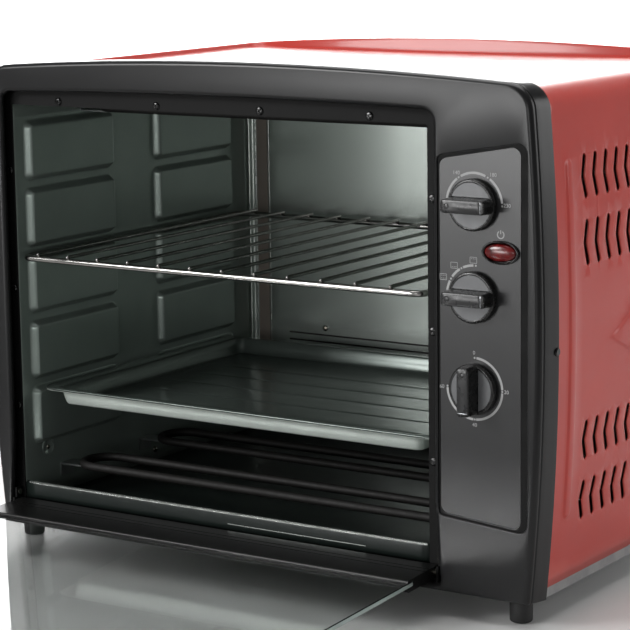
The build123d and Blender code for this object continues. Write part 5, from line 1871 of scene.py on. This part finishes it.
@dataclass
class Trim:
    """Screws with cross recesses, the feet and the lead's bushing."""

    head_radius: float = 3.2
    head_height: float = 1.5
    top_screws: tuple[float, ...] = (-181.0, -85.0, 11.0, 107.0)
    top_height: float = 359.8
    side_columns: tuple[float, float] = (-233.1, 159.1)
    side_heights: tuple[float, ...] = (111.0, 207.0, 303.0)
    frame_setback: float = 11.6
    screw_turn: float = 17.0
    foot_radius: float = 8.5
    foot_neck: float = 7.3

    def screw(self) -> Skin:
        """A pan head: a domed profile with a cross-shaped recess cut as a sunk star ring."""
        radius, height = self.head_radius, self.head_height
        arms = np.arange(32)
        turn = arms * FULL_TURN / 32
        cross = np.where(arms % 8 < 1, 1.75, np.where((arms % 8 == 1) | (arms % 8 == 7), 1.3, 0.55))
        round_edge = np.full(32, radius)
        rings = [
            (round_edge, 0.0),
            (round_edge, 0.35),
            (round_edge * 0.94, 0.8),
            (round_edge * 0.78, 1.2),
            (np.maximum(cross + 0.15, 0.7) * 1.05, height),
            (cross, height - 0.12),
            (cross * 0.8, height - 0.85),
        ]
        way = np.stack([np.cos(turn), np.sin(turn)], -1)
        return solid_loft([level(size[:, None] * way, z) for size, z in rings])

    def frame_screws(self) -> None:
        """Sets the ten screws of the front frame."""
        places = [(x, self.top_height) for x in self.top_screws]
        places += [(x, z) for x in self.side_columns for z in self.side_heights]
        screw = self.screw()
        skins = [
            screw.turned(face_plane(x, self.frame_setback, z, self.screw_turn * place))
            for place, (x, z) in enumerate(places)
        ]
        make_piece(
            "front_frame_screws", skins[0].joined(*skins[1:]), "chassis", SCREW_BLACK,
            ["frame_screws"], sharp=45.0,
        )
        dress(["side_screws"], SCREW_BLACK)
        dress(["back_screws"], SCREW_ZINC)

    def foot(self, node: str) -> None:
        """A turned rubber foot with a narrower neck and a rounded tread.

        Args:
            node: The foot's node in the frame.
        """
        low, high = box_of(node)
        x, y = (low + high)[:2] / 2.0
        top = high[2]
        radius = self.foot_radius
        profile = np.array(
            [
                (0.0, 0.0),
                (radius - 2.2, 0.0),
                (radius - 1.2, 0.2),
                (radius - 0.5, 0.8),
                (radius - 0.2, 1.6),
                (radius, top - 4.0),
                (radius - 0.1, top - 2.7),
                (radius - 0.5, top - 2.1),
                (self.foot_neck, top - 2.0),
                (self.foot_neck, top),
                (0.0, top),
            ]
        )
        skin = revolved(profile).moved(x, y, 0.0)
        make_piece(f"{node}_rubber", skin, "chassis", FOOT_RUBBER, [node])

    def build(self) -> None:
        """Makes screws and feet and dresses the bushing."""
        self.frame_screws()
        for node in (f"{end}_{side}_foot" for end in ("front", "rear") for side in ("left", "right")):
            self.foot(node)
        dress(["lead_bushing"], BEZEL_BLACK)


@dataclass(frozen=True)
class Panel:
    """One soft area light."""

    name: str
    place: Point
    target: Point
    size: tuple[float, float]
    power: float
    spread: float = 180.0


@dataclass
class Studio:
    """Backdrop, lights and the photograph's camera."""

    camera_place: Point = (1.0253, -1.4748, 0.5196)
    yaw: float = 33.56
    pitch: float = 10.02
    roll: float = -0.83
    lens: float = 137.14
    sensor: float = 36.0
    ambient: float = 0.18
    panels: tuple[Panel, ...] = (
        Panel("overhead", (-0.2, 0.3, 2.4), (0.0, 0.0, 0.2), (2.2, 2.2), 60.0),
        Panel("front_left", (-0.66, -1.85, 0.27), (0.05, 0.1, 0.24), (0.85, 0.32), 11.0),
        Panel("front_right", (1.0, -2.6, 0.4), (-0.2, 0.1, 0.2), (0.7, 0.5), 6.5),
        Panel("front_high", (-1.4, -1.9, 1.3), (0.0, 0.1, 0.12), (0.9, 0.8), 42.0),
        Panel("right", (2.3, 1.1, 0.9), (0.2, 0.1, 0.2), (1.2, 1.4), 20.0),
        Panel("paper", (-2.8, 2.5, 2.45), (-3.0, 4.2, 0.95), (4.2, 1.4), 310.0, spread=110.0),
    )

    def world(self) -> None:
        """A plain dim grey all round; the paper and the lights do the rest."""
        world = bpy.data.worlds.new("studio")
        bpy.context.scene.world = world
        world.use_nodes = True
        shade = world.node_tree.nodes["Background"]
        shade.inputs["Color"].default_value = (1.0, 1.0, 1.0, 1.0)
        shade.inputs["Strength"].default_value = self.ambient

    def paper(self) -> bpy.types.Material:
        """Returns the paper's material with painted light and shade: darker in front and to the left, paler
        to the right and the rear; it is also more matt in front.
        """
        material = bpy.data.materials.new("paper_painted_shade")
        sheet = NodeSheet(material)
        shader = sheet.add("ShaderNodeBsdfPrincipled")
        place = sheet.add("ShaderNodeSeparateXYZ")
        sheet.wire(sheet.add("ShaderNodeTexCoord").outputs["Object"], place.inputs["Vector"])
        # Painted shade: the paper darkens towards the front and the left, darkest far in front of the oven,
        # and pales to white towards the rear.
        back = sheet.ranged(place.outputs["Y"], (0.1, 1.6, 0.0, 1.0))
        aside = sheet.ranged(place.outputs["X"], (-0.7, 0.0, 0.0, 1.0))
        near = sheet.ranged(place.outputs["Y"], (-0.38, -0.24, 0.0, 1.0))
        front = sheet.mix(aside, linear((138, 138, 137)), linear((200, 200, 199)))
        front = sheet.mix(near, linear((128, 128, 127)), front)
        sheet.wire(sheet.mix(back, front, linear((240, 240, 240))), shader.inputs["Base Color"])
        sheet.wire(sheet.ranged(place.outputs["Y"], (-0.4, -0.2, 0.95, 0.4)), shader.inputs["Roughness"])
        sheet.wire(shader.outputs["BSDF"], sheet.add("ShaderNodeOutputMaterial").inputs["Surface"])
        return material

    def floor(self) -> None:
        """A pale sheet of paper that curves up far behind the oven: flat, a quarter circle, then upright."""
        radius, bend_start, table = 1.2, 3.2, -0.0006
        turn = np.radians(np.linspace(0.0, 90.0, 13))[1:]
        bend = np.stack([bend_start + radius * np.sin(turn), radius * (1.0 - np.cos(turn)) + table], -1)
        profile = np.vstack([[[-3.0, table], [bend_start, table]], bend, [[bend_start + radius, 4.6]]])
        points = np.stack([np.column_stack([np.full(len(profile), x), profile]) for x in (-6.6, 4.6)], 1)
        skin = grid_skin(points)
        mesh = bpy.data.meshes.new("paper_sweep")
        mesh.from_pydata(skin.points.tolist(), [], [face[::-1] for face in skin.faces])
        mesh.polygons.foreach_set("use_smooth", np.ones(len(mesh.polygons), bool))
        mesh.materials.append(self.paper())
        paper = bpy.data.objects.new("paper_sweep", mesh)
        bpy.context.scene.collection.objects.link(paper)

    def light(self, panel: Panel) -> None:
        """Hangs one soft light.

        Args:
            panel: The light to hang.
        """
        lamp = bpy.data.lights.new(panel.name, "AREA")
        lamp.shape = "RECTANGLE"
        lamp.size, lamp.size_y = panel.size
        lamp.energy = panel.power
        lamp.spread = math.radians(panel.spread)
        holder = bpy.data.objects.new(panel.name, lamp)
        holder.location = panel.place
        aim = Vector(panel.target) - Vector(panel.place)
        holder.rotation_euler = aim.to_track_quat("-Z", "Y").to_euler()
        bpy.context.scene.collection.objects.link(holder)

    def camera(self) -> None:
        """Sets the photograph's camera from its yaw, pitch and roll."""
        yaw, pitch, roll = (math.radians(turn) for turn in (self.yaw, self.pitch, self.roll))
        level_part = math.cos(pitch)
        ahead = np.array([-math.sin(yaw) * level_part, math.cos(yaw) * level_part, -math.sin(pitch)])
        right = np.array([math.cos(yaw), math.sin(yaw), 0.0])
        up = np.cross(right, ahead)
        rolled_right = math.cos(roll) * right + math.sin(roll) * up
        rolled_up = math.cos(roll) * up - math.sin(roll) * right
        turn = np.eye(4)
        turn[:3] = np.column_stack([rolled_right, rolled_up, -ahead, self.camera_place])
        lens = bpy.data.cameras.new("photograph")
        lens.lens = self.lens
        lens.sensor_width = self.sensor
        holder = bpy.data.objects.new("photograph", lens)
        holder.matrix_world = Matrix(turn.tolist())
        scene = bpy.context.scene
        scene.collection.objects.link(holder)
        scene.camera = holder

    def build(self) -> None:
        """Sets world, paper, lights and camera."""
        self.world()
        self.floor()
        for panel in self.panels:
            self.light(panel)
        self.camera()
        bpy.context.scene.view_settings.view_transform = "Standard"


def main() -> None:
    logging.basicConfig(level=logging.INFO, format="%(name)s: %(message)s")
    for part in (Fascia(), Housing(), Cavity(), Rack(), Tray(), Door(), Controls(), Trim(), Studio()):
        part.build()


if __name__ == "__main__":
    main()
